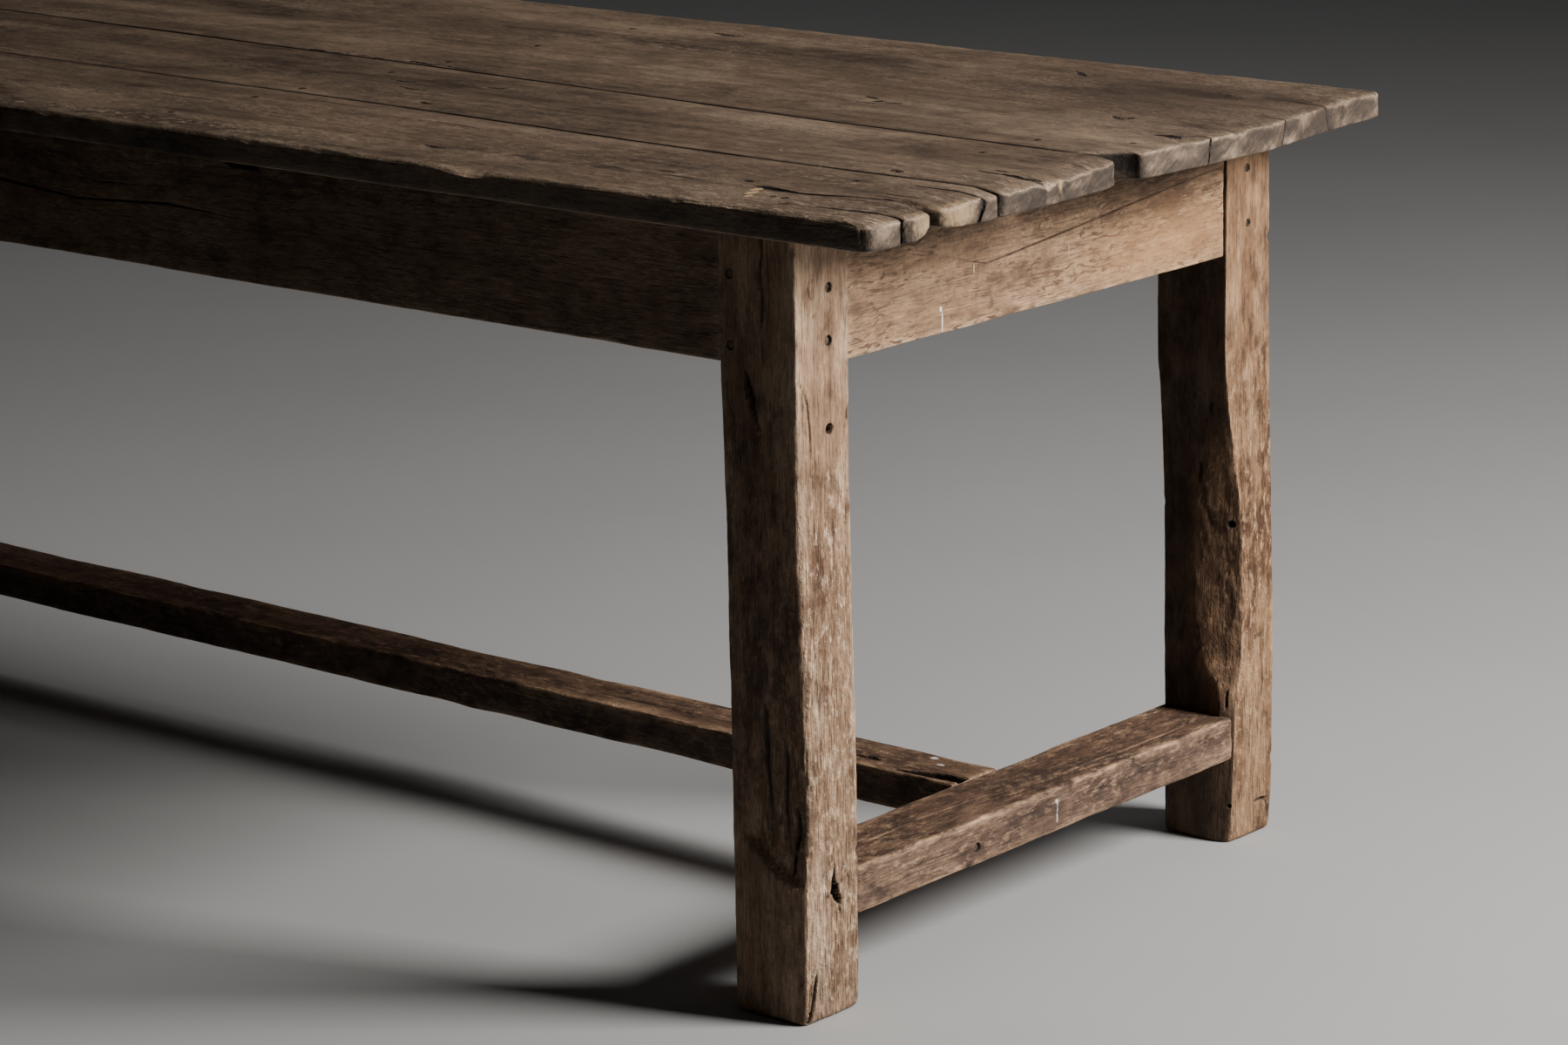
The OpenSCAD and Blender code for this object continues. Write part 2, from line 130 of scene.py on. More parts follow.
camera_data = bpy.data.cameras.new("camera")
camera_data.lens = lens_mm
camera_data.sensor_width = 36
camera = bpy.data.objects.new("camera", camera_data)
bpy.context.collection.objects.link(camera)
camera.matrix_world = Matrix.Translation(Vector(place(*camera_from_corner))) @ Matrix(
    (right, up, -ahead)).transposed().to_4x4()
bpy.context.scene.camera = camera
print("camera at", [round(c, 3) for c in camera.location])

# %% [markdown]
# ## Soft studio light
# One big soft light stands to the right and lights the end of the table, so the long side falls into
# shadow and the wear on the edges shows. A second, weaker one hangs over the top, and a dim pale room does
# the rest.

# %% Lights and room
def soft_light(name, at, aim, size, watts, colour):
    """A square area light of that size in metres at a place, turned towards its aim."""
    data = bpy.data.lights.new(name, "AREA")
    data.size, data.energy, data.color = size, watts, colour
    light = bpy.data.objects.new(name, data)
    towards = (Vector(aim) - Vector(at)).to_track_quat("-Z", "Y")
    light.matrix_world = Matrix.Translation(at) @ towards.to_matrix().to_4x4()
    bpy.context.collection.objects.link(light)


soft_light("window_light", (3.75, 1.1, 2.15), (1.0, 0.0, 0.45), 1.2, 290, (1.0, 0.95, 0.90))
soft_light("top_light", (1.2, 2.2, 3.6), (0.4, 0.0, 0.7), 2.4, 12, (0.95, 0.97, 1.0))

world = bpy.data.worlds.new("room")
bpy.context.scene.world = world
world.use_nodes = True
background = world.node_tree.nodes["Background"].inputs
background["Color"].default_value = (0.80, 0.82, 0.85, 1)
background["Strength"].default_value = 0.02

# %% [markdown]
# ## Building node trees in few words
# Materials are written as node trees. A few small helpers keep them short: they put a node into a tree and
# fill its inputs, do sums, fade between two colours, cut a value into a mask, make noise and bend the grain
# with it. The others open and place node groups, start a material and give it its relief.

# %% Node helpers
def put(tree, kind, inputs=None, **settings):
    """Adds a node. Each input, by name or number, gets a value or is linked to a socket."""
    node = tree.nodes.new("ShaderNode" + kind)
    for key, value in settings.items():
        setattr(node, key, value)
    for key, value in (inputs or {}).items():
        if isinstance(value, bpy.types.NodeSocket):
            tree.links.new(value, node.inputs[key])
        else:
            node.inputs[key].default_value = value
    return node


def calc(tree, operation, a, b, c=0.0):
    """The result of one sum as a socket."""
    return put(tree, "Math", {0: a, 1: b, 2: c}, operation=operation).outputs[0]


def fade(tree, mask, a, b, mode="MIX"):
    """Colour a where the mask is 0 and b where it is 1."""
    return put(tree, "Mix", {0: mask, 6: a, 7: b}, data_type="RGBA", blend_type=mode).outputs[2]


def step(tree, value, low, high):
    """A mask that rises smoothly from 0 at low to 1 at high. It falls where low is the larger."""
    return put(tree, "MapRange", {0: value, 1: low, 2: high}, interpolation_type="SMOOTHSTEP").outputs[0]


def noise_node(tree, vector, stretch, detail, roughness=0.5, shift=0.0):
    """Noise whose cells are 1/stretch metres long on each axis."""
    scaled = put(tree, "Mapping", {"Vector": vector, "Scale": stretch, "Location": (shift, shift, shift)})
    texture = put(tree, "TexNoise", {"Vector": scaled.outputs[0], "Scale": 1.0, "Detail": detail,
                                     "Roughness": roughness})
    return texture.outputs[0]


def bent(tree, vector, value, reach):
    """A grain place moved across the grain, by reach metres to one side at value 0 and to the other at 1."""
    move = calc(tree, "MULTIPLY_ADD", value, 2 * reach, -reach)
    both = put(tree, "CombineXYZ", {"Y": move, "Z": move}).outputs[0]
    return put(tree, "VectorMath", {0: vector, 1: both}, operation="ADD").outputs[0]


def group(name, takes, gives):
    """A new shader node group. Returns its tree, its input sockets and its output node."""
    kinds = {float: "NodeSocketFloat", tuple: "NodeSocketVector", list: "NodeSocketColor"}
    tree = bpy.data.node_groups.new(name, "ShaderNodeTree")
    for socket, value in takes.items():
        made = tree.interface.new_socket(socket, in_out="INPUT", socket_type=kinds[type(value)])
        made.default_value = value
    for socket, value in gives.items():
        tree.interface.new_socket(socket, in_out="OUTPUT", socket_type=kinds[type(value)])
    return tree, tree.nodes.new("NodeGroupInput").outputs, tree.nodes.new("NodeGroupOutput").inputs


def use(tree, made, inputs):
    """Places a group in a tree and returns its outputs."""
    return put(tree, "Group", inputs, node_tree=made).outputs


def new_material(name):
    """A material with nodes. Returns it, its tree and its shader."""
    material = bpy.data.materials.new(name)
    material.use_nodes = True
    return material, material.node_tree, material.node_tree.nodes["Principled BSDF"]


def relief(tree, shader, height, strength, distance_mm):
    """Gives a shader a bump from a height."""
    bump = put(tree, "Bump", {"Height": height, "Strength": strength, "Distance": distance_mm * mm})
    tree.links.new(bump.outputs["Normal"], shader.inputs["Normal"])


# %% [markdown]
# ## The grain of oak
# A piece of timber is a cut through a trunk, so its pattern fills its whole depth. Every piece carries
# grain coordinates: metres along the fibres, across them and into the depth. Noise that is long along the
# fibres and short the other two ways gives rings, fibres and pores on the sides, and spots on the end
# grain, as real timber has, with no seam at an arris.

# %% Grain group
grain_masks = ("Rings", "Fibres", "Pores", "Clouds", "Checks", "Mottle", "Flakes", "Grit")
wear_masks = ("Worn", "Dirt_And_Shade", "Weather")
grain_tree, given, result = group(
    "oak_grain", {"Grain": (0.0, 0.0, 0.0), "Ring Width": 0.004}, dict.fromkeys(grain_masks, 0.0))
t = grain_tree
wood = bent(t, given["Grain"], noise_node(t, given["Grain"], (2.2, 14, 14), 2), 0.011)
per_ring = calc(t, "DIVIDE", 1.0, given["Ring Width"])
ring_scale = put(t, "CombineXYZ", {"X": 1.4, "Y": per_ring, "Z": per_ring}).outputs[0]
ring_place = put(t, "VectorMath", {0: wood, 1: ring_scale}, operation="MULTIPLY").outputs[0]
rings = put(t, "TexNoise", {"Vector": ring_place, "Scale": 0.5, "Detail": 3.0, "Roughness": 0.6})
t.links.new(rings.outputs[0], result["Rings"])
t.links.new(noise_node(t, given["Grain"], (4.5, 9, 9), 4, 0.62, 1.3), result["Clouds"])
# Each other mask is a noise of its own: its stretch, detail, roughness and shift, and where it has them the
# two ends of the step that cuts it into a mask.
for key, (stretch, detail, roughness, shift, *ends) in {
        "Fibres": ((38, 700, 700), 3, 0.68, 3.1), "Pores": ((40, 620, 620), 1, 0.5, 7.7, 0.60, 0.70),
        "Checks": ((16, 330, 330), 3, 0.60, 5.2, 0.61, 0.68), "Mottle": ((30, 52, 52), 5, 0.62, 4.4),
        "Flakes": ((75, 150, 150), 5, 0.66, 6.6, 0.50, 0.64),
        "Grit": ((120, 210, 210), 4, 0.66, 8.8)}.items():
    pattern = noise_node(t, wood, stretch, detail, roughness, shift)
    t.links.new(step(t, pattern, *ends) if ends else pattern, result[key])
print("group", grain_tree.name, "with", len(grain_tree.nodes), "nodes")

# %% [markdown]
# ## Spots
# Knots, stains, dried drips and dents sit at one place. This group draws one: a stretched round spot,
# turned about the vertical, with an uneven rim. Its mask is 1 inside and 0 outside.

# %% Spot group
spot_tree, given, result = group(
    "spot", {"Position": (0.0, 0.0, 0.0), "Centre": (0.0, 0.0, 0.0), "Reach": (0.01, 0.01, 0.01),
             "Turn": 0.0, "Uneven": 0.35, "Softness": 0.35}, {"Mask": 0.0})
t = spot_tree
offset = put(t, "VectorMath", {0: given["Position"], 1: given["Centre"]}, operation="SUBTRACT")
offset = put(t, "VectorRotate", {"Vector": offset.outputs[0], "Angle": given["Turn"]}, rotation_type="Z_AXIS")
scaled = put(t, "VectorMath", {0: offset.outputs[0], 1: given["Reach"]}, operation="DIVIDE")
length = put(t, "VectorMath", {0: scaled.outputs[0]}, operation="LENGTH").outputs["Value"]
wobble = put(t, "TexNoise", {"Vector": given["Position"], "Scale": 240.0, "Detail": 3.0}).outputs[0]
wobble = calc(t, "MULTIPLY", calc(t, "SUBTRACT", wobble, 0.5), calc(t, "MULTIPLY", given["Uneven"], 4.0))
edge = calc(t, "ADD", length, wobble)
inner = calc(t, "SUBTRACT", 1.0, given["Softness"])
fall = put(t, "MapRange", {0: edge, 1: inner, 2: 1.0, 3: 1.0, 4: 0.0}, interpolation_type="SMOOTHSTEP")
t.links.new(fall.outputs[0], result["Mask"])
print("group", spot_tree.name, "with", len(spot_tree.nodes), "nodes")

# %% [markdown]
# ## Silver grain
# Oak that is split or sawn towards the heart shows its rays as small curved flecks, which lean across the
# grain. Noise cells that are longer than they are wide, bent by a slower noise, are such flecks, and a
# third noise leaves some places free of them.

# %% Fleck group
fleck_tree, given, result = group("silver_grain", {"Grain": (0.0, 0.0, 0.0), "Amount": 1.0}, {"Mask": 0.0})
t = fleck_tree
leaning = put(t, "VectorRotate", {"Vector": given["Grain"], "Angle": 0.30}, rotation_type="X_AXIS").outputs[0]
leaning = put(t, "VectorRotate", {"Vector": leaning, "Angle": 0.16}, rotation_type="Y_AXIS").outputs[0]
lines = bent(t, leaning, noise_node(t, leaning, (26, 40, 40), 1, 0.5, 2.0), 0.008)
dashes = step(t, noise_node(t, lines, (52, 290, 290), 1, 0.5, 5.0), 0.570, 0.625)
broken = step(t, noise_node(t, leaning, (14, 30, 30), 2, 0.5, 9.0), 0.42, 0.60)
t.links.new(calc(t, "MULTIPLY", calc(t, "MULTIPLY", dashes, broken), given["Amount"]), result["Mask"])
print("group", fleck_tree.name, "with", len(fleck_tree.nodes), "nodes")

# %% [markdown]
# ## A century of use
# Hands and feet rub the high places pale and a little shiny, dirt and old wax stay in the cracks, and rot
# and damp leave the grain rough and blotched. Three attributes that each mesh carries, worn,
# dirt_and_shade and weather, say where; dirt_and_shade also holds painted shade on faces that stand in
# shadow. This group turns the grain's masks and those three into a colour, a roughness and a height for
# the bump.

# %% Old wood group
old_tree, given, result = group(
    "old_wood",
    {**dict.fromkeys(grain_masks, 0.5), **dict.fromkeys(wear_masks, 0.0), "Mottling": 0.5,
     "Dark": [0.05, 0.03, 0.02, 1.0], "Middle": [0.12, 0.08, 0.05, 1.0], "Light": [0.22, 0.15, 0.1, 1.0],
     "Pale": [0.4, 0.29, 0.19, 1.0], "Contrast": 1.0, "Fibre Contrast": 1.0},
    {"Color": [0.0, 0.0, 0.0, 1.0], "Roughness": 0.5, "Height": 0.0})
t = old_tree
mid_tone = 0.575
tone = calc(t, "ADD", calc(t, "MULTIPLY", given["Rings"], 0.40), calc(t, "MULTIPLY", given["Clouds"], 0.75))
patches = calc(t, "MULTIPLY", calc(t, "SUBTRACT", given["Mottle"], 0.5), given["Mottling"])
tone = calc(t, "ADD", tone, patches)
spread_tone = calc(t, "MULTIPLY_ADD", calc(t, "SUBTRACT", tone, mid_tone), given["Contrast"], mid_tone)
colour = fade(t, step(t, spread_tone, 0.38, 0.58), given["Dark"], given["Middle"])
colour = fade(t, step(t, spread_tone, 0.55, 0.78), colour, given["Light"])
rub = calc(t, "MULTIPLY", given["Worn"], step(t, calc(t, "ADD", given["Clouds"], patches), 0.25, 0.60))
colour = fade(t, rub, colour, given["Pale"])
loose = calc(t, "MULTIPLY", calc(t, "MULTIPLY", given["Flakes"], given["Weather"]), 0.95)
colour = fade(t, loose, colour, given["Pale"])
fibre_tone = put(t, "MapRange", {0: given["Fibres"], 1: 0.36, 2: 0.64, 3: -0.36, 4: 0.30}).outputs[0]
fibre_strength = calc(t, "MULTIPLY_ADD", given["Weather"], 0.8, given["Fibre Contrast"])
fibre_tone = calc(t, "MULTIPLY", fibre_tone, fibre_strength)
gritty = calc(t, "SUBTRACT", given["Grit"], 0.5)
shade = calc(t, "ADD", calc(t, "MULTIPLY_ADD", gritty, 0.9, fibre_tone), 1.0)
grey = put(t, "CombineColor", {0: shade, 1: shade, 2: shade}).outputs[0]
colour = fade(t, 1.0, colour, grey, "MULTIPLY")
near_black = [0.010, 0.0065, 0.0045, 1.0]
colour = fade(t, calc(t, "MULTIPLY", given["Pores"], 0.5), colour, near_black)
split = calc(t, "MULTIPLY", given["Checks"], calc(t, "MULTIPLY_ADD", given["Weather"], 0.70, 0.05))
colour = fade(t, split, colour, fade(t, 0.5, given["Dark"], near_black))
# Dirt and painted shade both come in through Dirt_And_Shade, and darken the colour towards near_black.
colour = fade(t, given["Dirt_And_Shade"], colour, near_black)
t.links.new(colour, result["Color"])
rough_value = put(t, "MapRange", {0: tone, 1: 0.35, 2: 0.8, 3: 0.70, 4: 0.50}).outputs[0]
rough_value = calc(t, "ADD", rough_value, calc(t, "MULTIPLY", given["Dirt_And_Shade"], 0.15))
t.links.new(calc(t, "MULTIPLY_ADD", given["Weather"], 0.12, rough_value), result["Roughness"])
height = calc(t, "MULTIPLY_ADD", given["Fibres"], 0.45, calc(t, "MULTIPLY", given["Rings"], 0.45))
height = calc(t, "SUBTRACT", height, calc(t, "MULTIPLY", given["Pores"], 0.25))
height = calc(t, "SUBTRACT", height, calc(t, "MULTIPLY", split, 1.1))
height = calc(t, "ADD", height, calc(t, "MULTIPLY", loose, 0.6))
height = calc(t, "MULTIPLY_ADD", given["Mottle"], 1.3, height)
height = calc(t, "MULTIPLY_ADD", gritty, calc(t, "MULTIPLY_ADD", given["Weather"], 3.0, 1.0), height)
t.links.new(height, result["Height"])
print("group", old_tree.name, "with", len(old_tree.nodes), "nodes")

# %% [markdown]
# ## The oak materials
# The top, the frame, the far legs, the end aprons, the stretchers and the pegs aged differently, so each has
# its own four tones. A material reads the mesh's grain, worn, dirt_and_shade and weather attributes, and
# adds its own spots: a spot is a colour, a place from the measuring corner, a reach on each axis, all in
# millimetres, a strength, and a turn in degrees. A strong spot has a crisp rim and a faint one a soft rim.

# %% Oak material
def oak(name, dark, middle, light, pale, ring_mm, contrast, mottling, bump, fibres=1.0, fleck=0.0, spots=()):
    """A material of old oak in four tones.

    ring_mm is the width of a ring. contrast, mottling, fibres and fleck are the strengths of the tones, the
    patches, the fibres and the silver grain, and bump is that of the relief. A black spot is a dent too.
    """
    material, t, shader = new_material(name)
    grain = put(t, "Attribute", attribute_name="grain").outputs["Vector"]
    wood = use(t, grain_tree, {"Grain": grain, "Ring Width": ring_mm * mm})
    masks = {key: wood[key] for key in grain_masks}
    masks |= {key: put(t, "Attribute", attribute_name=key.lower()).outputs["Fac"] for key in wear_masks}
    tones = {"Dark": (*dark, 1), "Middle": (*middle, 1), "Light": (*light, 1), "Pale": (*pale, 1)}
    old = use(t, old_tree, {**masks, **tones, "Contrast": contrast, "Mottling": mottling,
                            "Fibre Contrast": fibres})
    colour, height = old["Color"], old["Height"]
    if fleck:
        flecks = use(t, fleck_tree, {"Grain": grain, "Amount": fleck})["Mask"]
        colour = fade(t, flecks, colour, tones["Dark"])
    position = put(t, "TexCoord").outputs["Object"]
    for paint, at, reach, strength, degrees in spots:
        rim = crisp_rim if strength > crisp_from else soft_rim
        where = {"Position": position, "Centre": tuple(place(*at)), "Reach": tuple(np.array(reach) * mm)}
        mask = use(t, spot_tree, {**where, **rim, "Turn": math.radians(-degrees)})["Mask"]
        colour = fade(t, calc(t, "MULTIPLY", mask, strength), colour, (*paint, 1))
        if paint == soot_black:
            height = calc(t, "MULTIPLY_ADD", mask, -dent_depth, height)
    t.links.new(colour, shader.inputs["Base Color"])
    t.links.new(old["Roughness"], shader.inputs["Roughness"])
    relief(t, shader, height, bump, 1.0)
    shader.inputs["Specular IOR Level"].default_value = 0.35
    return material


crisp_from, dent_depth = 0.62, 2.5
crisp_rim, soft_rim = {"Softness": 0.35, "Uneven": 0.35}, {"Softness": 0.9, "Uneven": 0.25}
soot_black = (0.008, 0.005, 0.004)
stain_and_shadow_brown = (0.028, 0.017, 0.011)
drip_white = (0.62, 0.60, 0.56)
fresh_wood = (0.48, 0.33, 0.18)
fleck_brown = (0.085, 0.052, 0.034)
scratch_tan = (0.26, 0.185, 0.125)
honey_gold = (0.47, 0.250, 0.105)

# %% Spots on the top
# By paint and by how far they reach up and down: place x, y, z, reach along and across the boards, strength
# and turn. Their order counts, because a later spot covers an earlier one. The black ones are knots, dents
# and small splits, the brown ones old stains, and the fresh wood shows where a splinter has gone.
top_spots = []
for paint, deep, places in (
        (soot_black, 12, [
            (-640, 205, 760, 13, 4, 1.0, -8), (-715, 260, 760, 24, 3, 0.9, -4),
            (-645, 310, 760, 16, 4, 0.8, 10), (-755, 288, 760, 22, 3, 0.8, 0),
            (-690, 715, 760, 26, 7, 0.8, -10), (-455, 25, 760, 18, 4, 0.9, -6),
            (-283, 467, 760, 8, 5, 1.0, 0), (-300, 478, 760, 12, 3, 0.9, -12),
            (-262, 462, 760, 12, 3, 0.9, 10), (-285, 450, 760, 14, 2.5, 0.9, 0),
            (-218, 712, 760, 20, 4, 0.9, -40), (75, 458, 757, 15, 7, 1.0, -20),
            (-29, 515, 760, 15, 4, 0.9, -25), (65, 408, 757, 4, 4, 0.9, 0), (79, 210, 757, 22, 3.5, 1.0, -6),
            (98, 216, 755, 10, 3, 1.0, 12), (55, 222, 758, 10, 2.5, 0.9, 0), (-24, 170, 760, 7, 5, 0.9, 0),
            (-96, 54, 760, 7, 3, 1.0, -10), (-4, -10, 760, 7, 3.5, 0.9, 0), (-31, 8, 760, 4, 4, 0.8, 0),
            (-190, 48, 760, 16, 2, 0.9, 0), (-155, 34, 760, 26, 2, 0.9, -4), (-246, 36, 760, 20, 2, 0.8, -4),
            (60, 72, 757, 26, 1.8, 0.8, 0), (55, 61, 757, 18, 1.8, 0.8, 0), (100, 38, 756, 10, 2, 0.9, 0),
            (-700, 145, 760, 60, 2, 0.7, -2), (-520, 122, 760, 40, 1.8, 0.7, -3),
            (-860, 90, 760, 50, 2, 0.7, 2),
        ]),
        (stain_and_shadow_brown, 12, [(-46, 676, 760, 60, 20, 0.85, -8), (46, 690, 760, 34, 14, 0.75, 0)]),
        (stain_and_shadow_brown, 30, [(-40, 640, 760, 300, 190, 0.62, -6), (-430, 620, 760, 360, 120, 0.3, -4)]),
        (stain_and_shadow_brown, 12, [
            (92, 662, 757, 14, 26, 0.6, 0), (40, 640, 760, 60, 6, 0.45, 0), (-54, 722, 760, 14, 12, 0.5, 0),
            (-400, 640, 760, 60, 16, 0.35, 0), (-560, 520, 760, 80, 14, 0.35, 0),
            (-330, 240, 760, 70, 10, 0.4, 0),
        ]),
        (drip_white, 8, [
            (-44, 202, 760, 14, 3, 0.16, -20), (47, 182, 758, 13, 1.6, 0.22, -35),
            (-176, 193, 760, 10, 1.3, 0.25, -40), (-94, 150, 760, 4, 2, 0.3, 0),
        ]),
        (fresh_wood, 12, [
            (-64, 26, 758, 5, 7, 0.9, 0), (-57, 12, 759, 5, 9, 0.9, 0), (-49, -2, 760, 4, 7, 0.8, 0),
        ]),
        (fresh_wood, 18, [(121, 28, 748, 14, 26, 0.5, 0)]),
        (fresh_wood, 20, [(114, 86, 747, 14, 34, 0.56, 0)]),
        (fresh_wood, 12, [(112, 237, 752, 9, 8, 0.55, 0)]),
        (scratch_tan, 14, [(122, -28, 750, 9, 20, 0.55, 0)])):
    top_spots += [(paint, (x, y, z), (long, wide, deep), strength, turn_deg)
                  for x, y, z, long, wide, strength, turn_deg in places]
print("spots on the top:", len(top_spots))

# %% Spots on the end aprons and the stretchers
# The end aprons' spots are given by paint: place y, z, reach on both, and strength.
apron_spots = []
for paint, places in (
        (honey_gold, [(555, 640, 200, 55, 0.38)]),
        (fleck_brown, [
            (361, 623, 4, 3.2, 0.8), (282, 624, 3.5, 6, 0.7), (288, 629, 4, 2.5, 0.5), (445, 632, 6, 3, 0.6),
            (450, 638, 3, 5, 0.5), (408, 631, 2.5, 5, 0.6), (171, 645, 2.2, 6, 0.6), (173, 630, 3, 5, 0.5),
            (226, 642, 2.5, 4, 0.6), (222, 620, 3, 5, 0.6), (498, 663, 5, 4, 0.5), (474, 641, 5, 3, 0.4),
            (300, 630, 2, 4, 0.5), (322, 627, 2.4, 2.4, 0.5), (455, 652, 10, 2.2, 0.4),
            (138, 656, 2, 6, 0.4), (120, 640, 8, 2.5, 0.4), (200, 655, 2, 5, 0.4),
        ]),
        (stain_and_shadow_brown, [
            (99, 608, 5, 3, 0.6), (122, 609, 4, 4, 0.6), (147, 609, 6, 3, 0.55), (155, 677, 3, 18, 0.3),
            # The last one, wide and high under the top, is the painted shadow of the boards' overhang
            # together with dirt.
            (362, 694, 3, 8, 0.5), (360, 765, 520, 150, 0.62),
        ]),
        (drip_white, [(207, 629, 2.4, 3, 0.95), (209, 616, 1.1, 13, 0.9), (400, 655, 0.9, 13, 0.4)]),
        (stain_and_shadow_brown, [(256, 658, 2.8, 9, 0.6)]),
        (fresh_wood, [(256, 659, 1.2, 6, 0.8)]),
        (stain_and_shadow_brown, [(259, 637, 1.2, 16, 0.5)])):
    apron_spots += [(paint, (0, y, z), (8, wide, high), strength, 0) for y, z, wide, high, strength in places]

stretcher_spots = [
    (drip_white, (3, 380, 119), (6, 3.2, 5), 0.9, 0), (drip_white, (3, 380, 106), (6, 1.5, 14), 0.8, 0),
    (drip_white, (-153, 384, 133), (6, 4, 6), 0.8, 0), (drip_white, (-135, 370, 133), (5, 3, 6), 0.7, 0),
    (scratch_tan, (-44, 180, 133), (1.6, 56, 8), 0.5, 2),
    (scratch_tan, (-43, 275, 133), (1.4, 50, 8), 0.6, -3),
    (scratch_tan, (-33, 372, 133), (1.5, 56, 8), 0.6, -8),
    (scratch_tan, (-24, 480, 133), (1.4, 56, 8), 0.55, -2)]
print("spots on the end aprons:", len(apron_spots), "and on the stretchers:", len(stretcher_spots))

# %% The oaks of the table
top_oak = oak("top_oak", (0.040, 0.025, 0.016), (0.100, 0.068, 0.045), (0.180, 0.127, 0.087),
              (0.380, 0.280, 0.195), ring_mm=8.0, contrast=1.0, mottling=0.4, fibres=0.45, bump=0.6,
              spots=top_spots)
frame_oak = oak("frame_oak", (0.100, 0.051, 0.026), (0.235, 0.139, 0.079), (0.350, 0.221, 0.133),
                (0.560, 0.400, 0.268), ring_mm=5.0, contrast=1.00, mottling=0.8, fibres=0.75, bump=1.0)
far_leg_oak = oak("far_leg_oak", (0.078, 0.035, 0.015), (0.176, 0.091, 0.043), (0.275, 0.153, 0.077),
                  (0.443, 0.277, 0.156), ring_mm=5.0, contrast=1.15, mottling=0.9, fibres=0.6, bump=1.0)
apron_oak = oak("apron_oak", (0.100, 0.052, 0.027), (0.215, 0.125, 0.067), (0.350, 0.218, 0.119),
                (0.500, 0.345, 0.212), ring_mm=7.0, contrast=1.15, mottling=0.55, fibres=0.7, fleck=1.2,
                bump=0.7, spots=apron_spots)
stretcher_oak = oak("stretcher_oak", (0.040, 0.021, 0.013), (0.085, 0.048, 0.031), (0.160, 0.099, 0.063),
                    (0.460, 0.300, 0.180), ring_mm=7.0, contrast=0.8, mottling=1.05, fibres=0.7, bump=1.0,
                    spots=stretcher_spots)
peg_oak = oak("peg_oak", (0.022, 0.013, 0.008), (0.058, 0.035, 0.022), (0.110, 0.070, 0.044),
              (0.200, 0.138, 0.088), ring_mm=1.5, contrast=1.0, mottling=0.3, bump=0.4)
print("oak materials:", [m.name for m in bpy.data.materials if m.name.endswith("_oak")])

# %% [markdown]
# ## Old iron
# The nails are forged by hand. Their iron is nearly black, a little shiny where it is rubbed, and brown
# with rust in blotches.

# %% Iron material
def iron(name):
    """Dark forged iron with blotches of rust, drawn on Object coordinates."""
    material, t, shader = new_material(name)
    position = put(t, "TexCoord").outputs["Object"]
    blotches = noise_node(t, position, (420, 420, 420), 3, 0.6)
    rust = step(t, blotches, 0.45, 0.62)
    colour = fade(t, rust, (0.030, 0.026, 0.024, 1), (0.075, 0.036, 0.018, 1))
    t.links.new(colour, shader.inputs["Base Color"])
    t.links.new(put(t, "MapRange", {0: rust, 3: 0.45, 4: 0.85}).outputs[0], shader.inputs["Roughness"])
    t.links.new(calc(t, "SUBTRACT", 1.0, rust), shader.inputs["Metallic"])
    relief(t, shader, blotches, 0.6, 0.4)
    return material


nail_iron = iron("nail_iron")
print("iron material:", nail_iron.name, "with", len(nail_iron.node_tree.nodes), "nodes")

# %% [markdown]
# ## Noise in numpy
# The same kind of noise also moves vertices. Space is cut into cells, each cell corner gets a fixed value
# from a formula, and a point blends the eight corners round it. The seed picks another pattern, so nothing
# changes from run to run.

# %% Noise for shapes
def smooth(t):
    """Goes from 0 to 1 as t does, as 3t² - 2t³, and stays there outside."""
    t = np.clip(t, 0, 1)
    return t * t * (3 - 2 * t)


def ramp(distance, reach_mm):
    """1 at no distance, falling straight to 0 at reach_mm."""
    return np.clip(1 - distance / (reach_mm * mm), 0, 1)


def decay(distance, reach_mm):
    """1 at no distance, falling as the exponential of the distance over reach_mm."""
    return np.exp(-distance / (reach_mm * mm))


def noise(points, cell, seed):
    """Smooth noise from -1 to 1 at each point; cell is the size of a cell in mm on each axis.

    A corner's value is the fraction of a large sine of its coordinates. The weights come from smooth.
    """
    scaled = points / (np.array(cell) * mm)
    base = np.floor(scaled)
    t = smooth(scaled - base)
    total = np.zeros(len(points))
    for offset in itertools.product((0, 1), repeat=3):
        hashed = np.sin((base + offset) @ (127.1, 311.7, 74.7) + seed * 19.19) * 43758.5453
        total += (2 * (hashed - np.floor(hashed)) - 1) * np.prod(np.where(offset, t, 1 - t), axis=1)
    return total


def rough(points, cell, seed):
    """Three octaves of noise: each has half the cell and half the height of the one before it."""
    cell = np.array(cell, float)
    return sum(noise(points, cell / 2 ** n, seed + n) / 2 ** n for n in range(3))


def noise_of(points, seed):
    """The noise of one piece: a function of a cell and of a number that picks one of its patterns."""
    return lambda cell, pattern: rough(points, cell, seed + pattern)


# %% [markdown]
# ## A skin on a lattice
# A timber is a block, so its skin is the outside of a lattice: planes of points along x, y and z, of which
# only the outer points are kept. All six sides share their edge points, so the skin is closed. The planes
# lie close together at the arrises, where the wear is, and near holes.

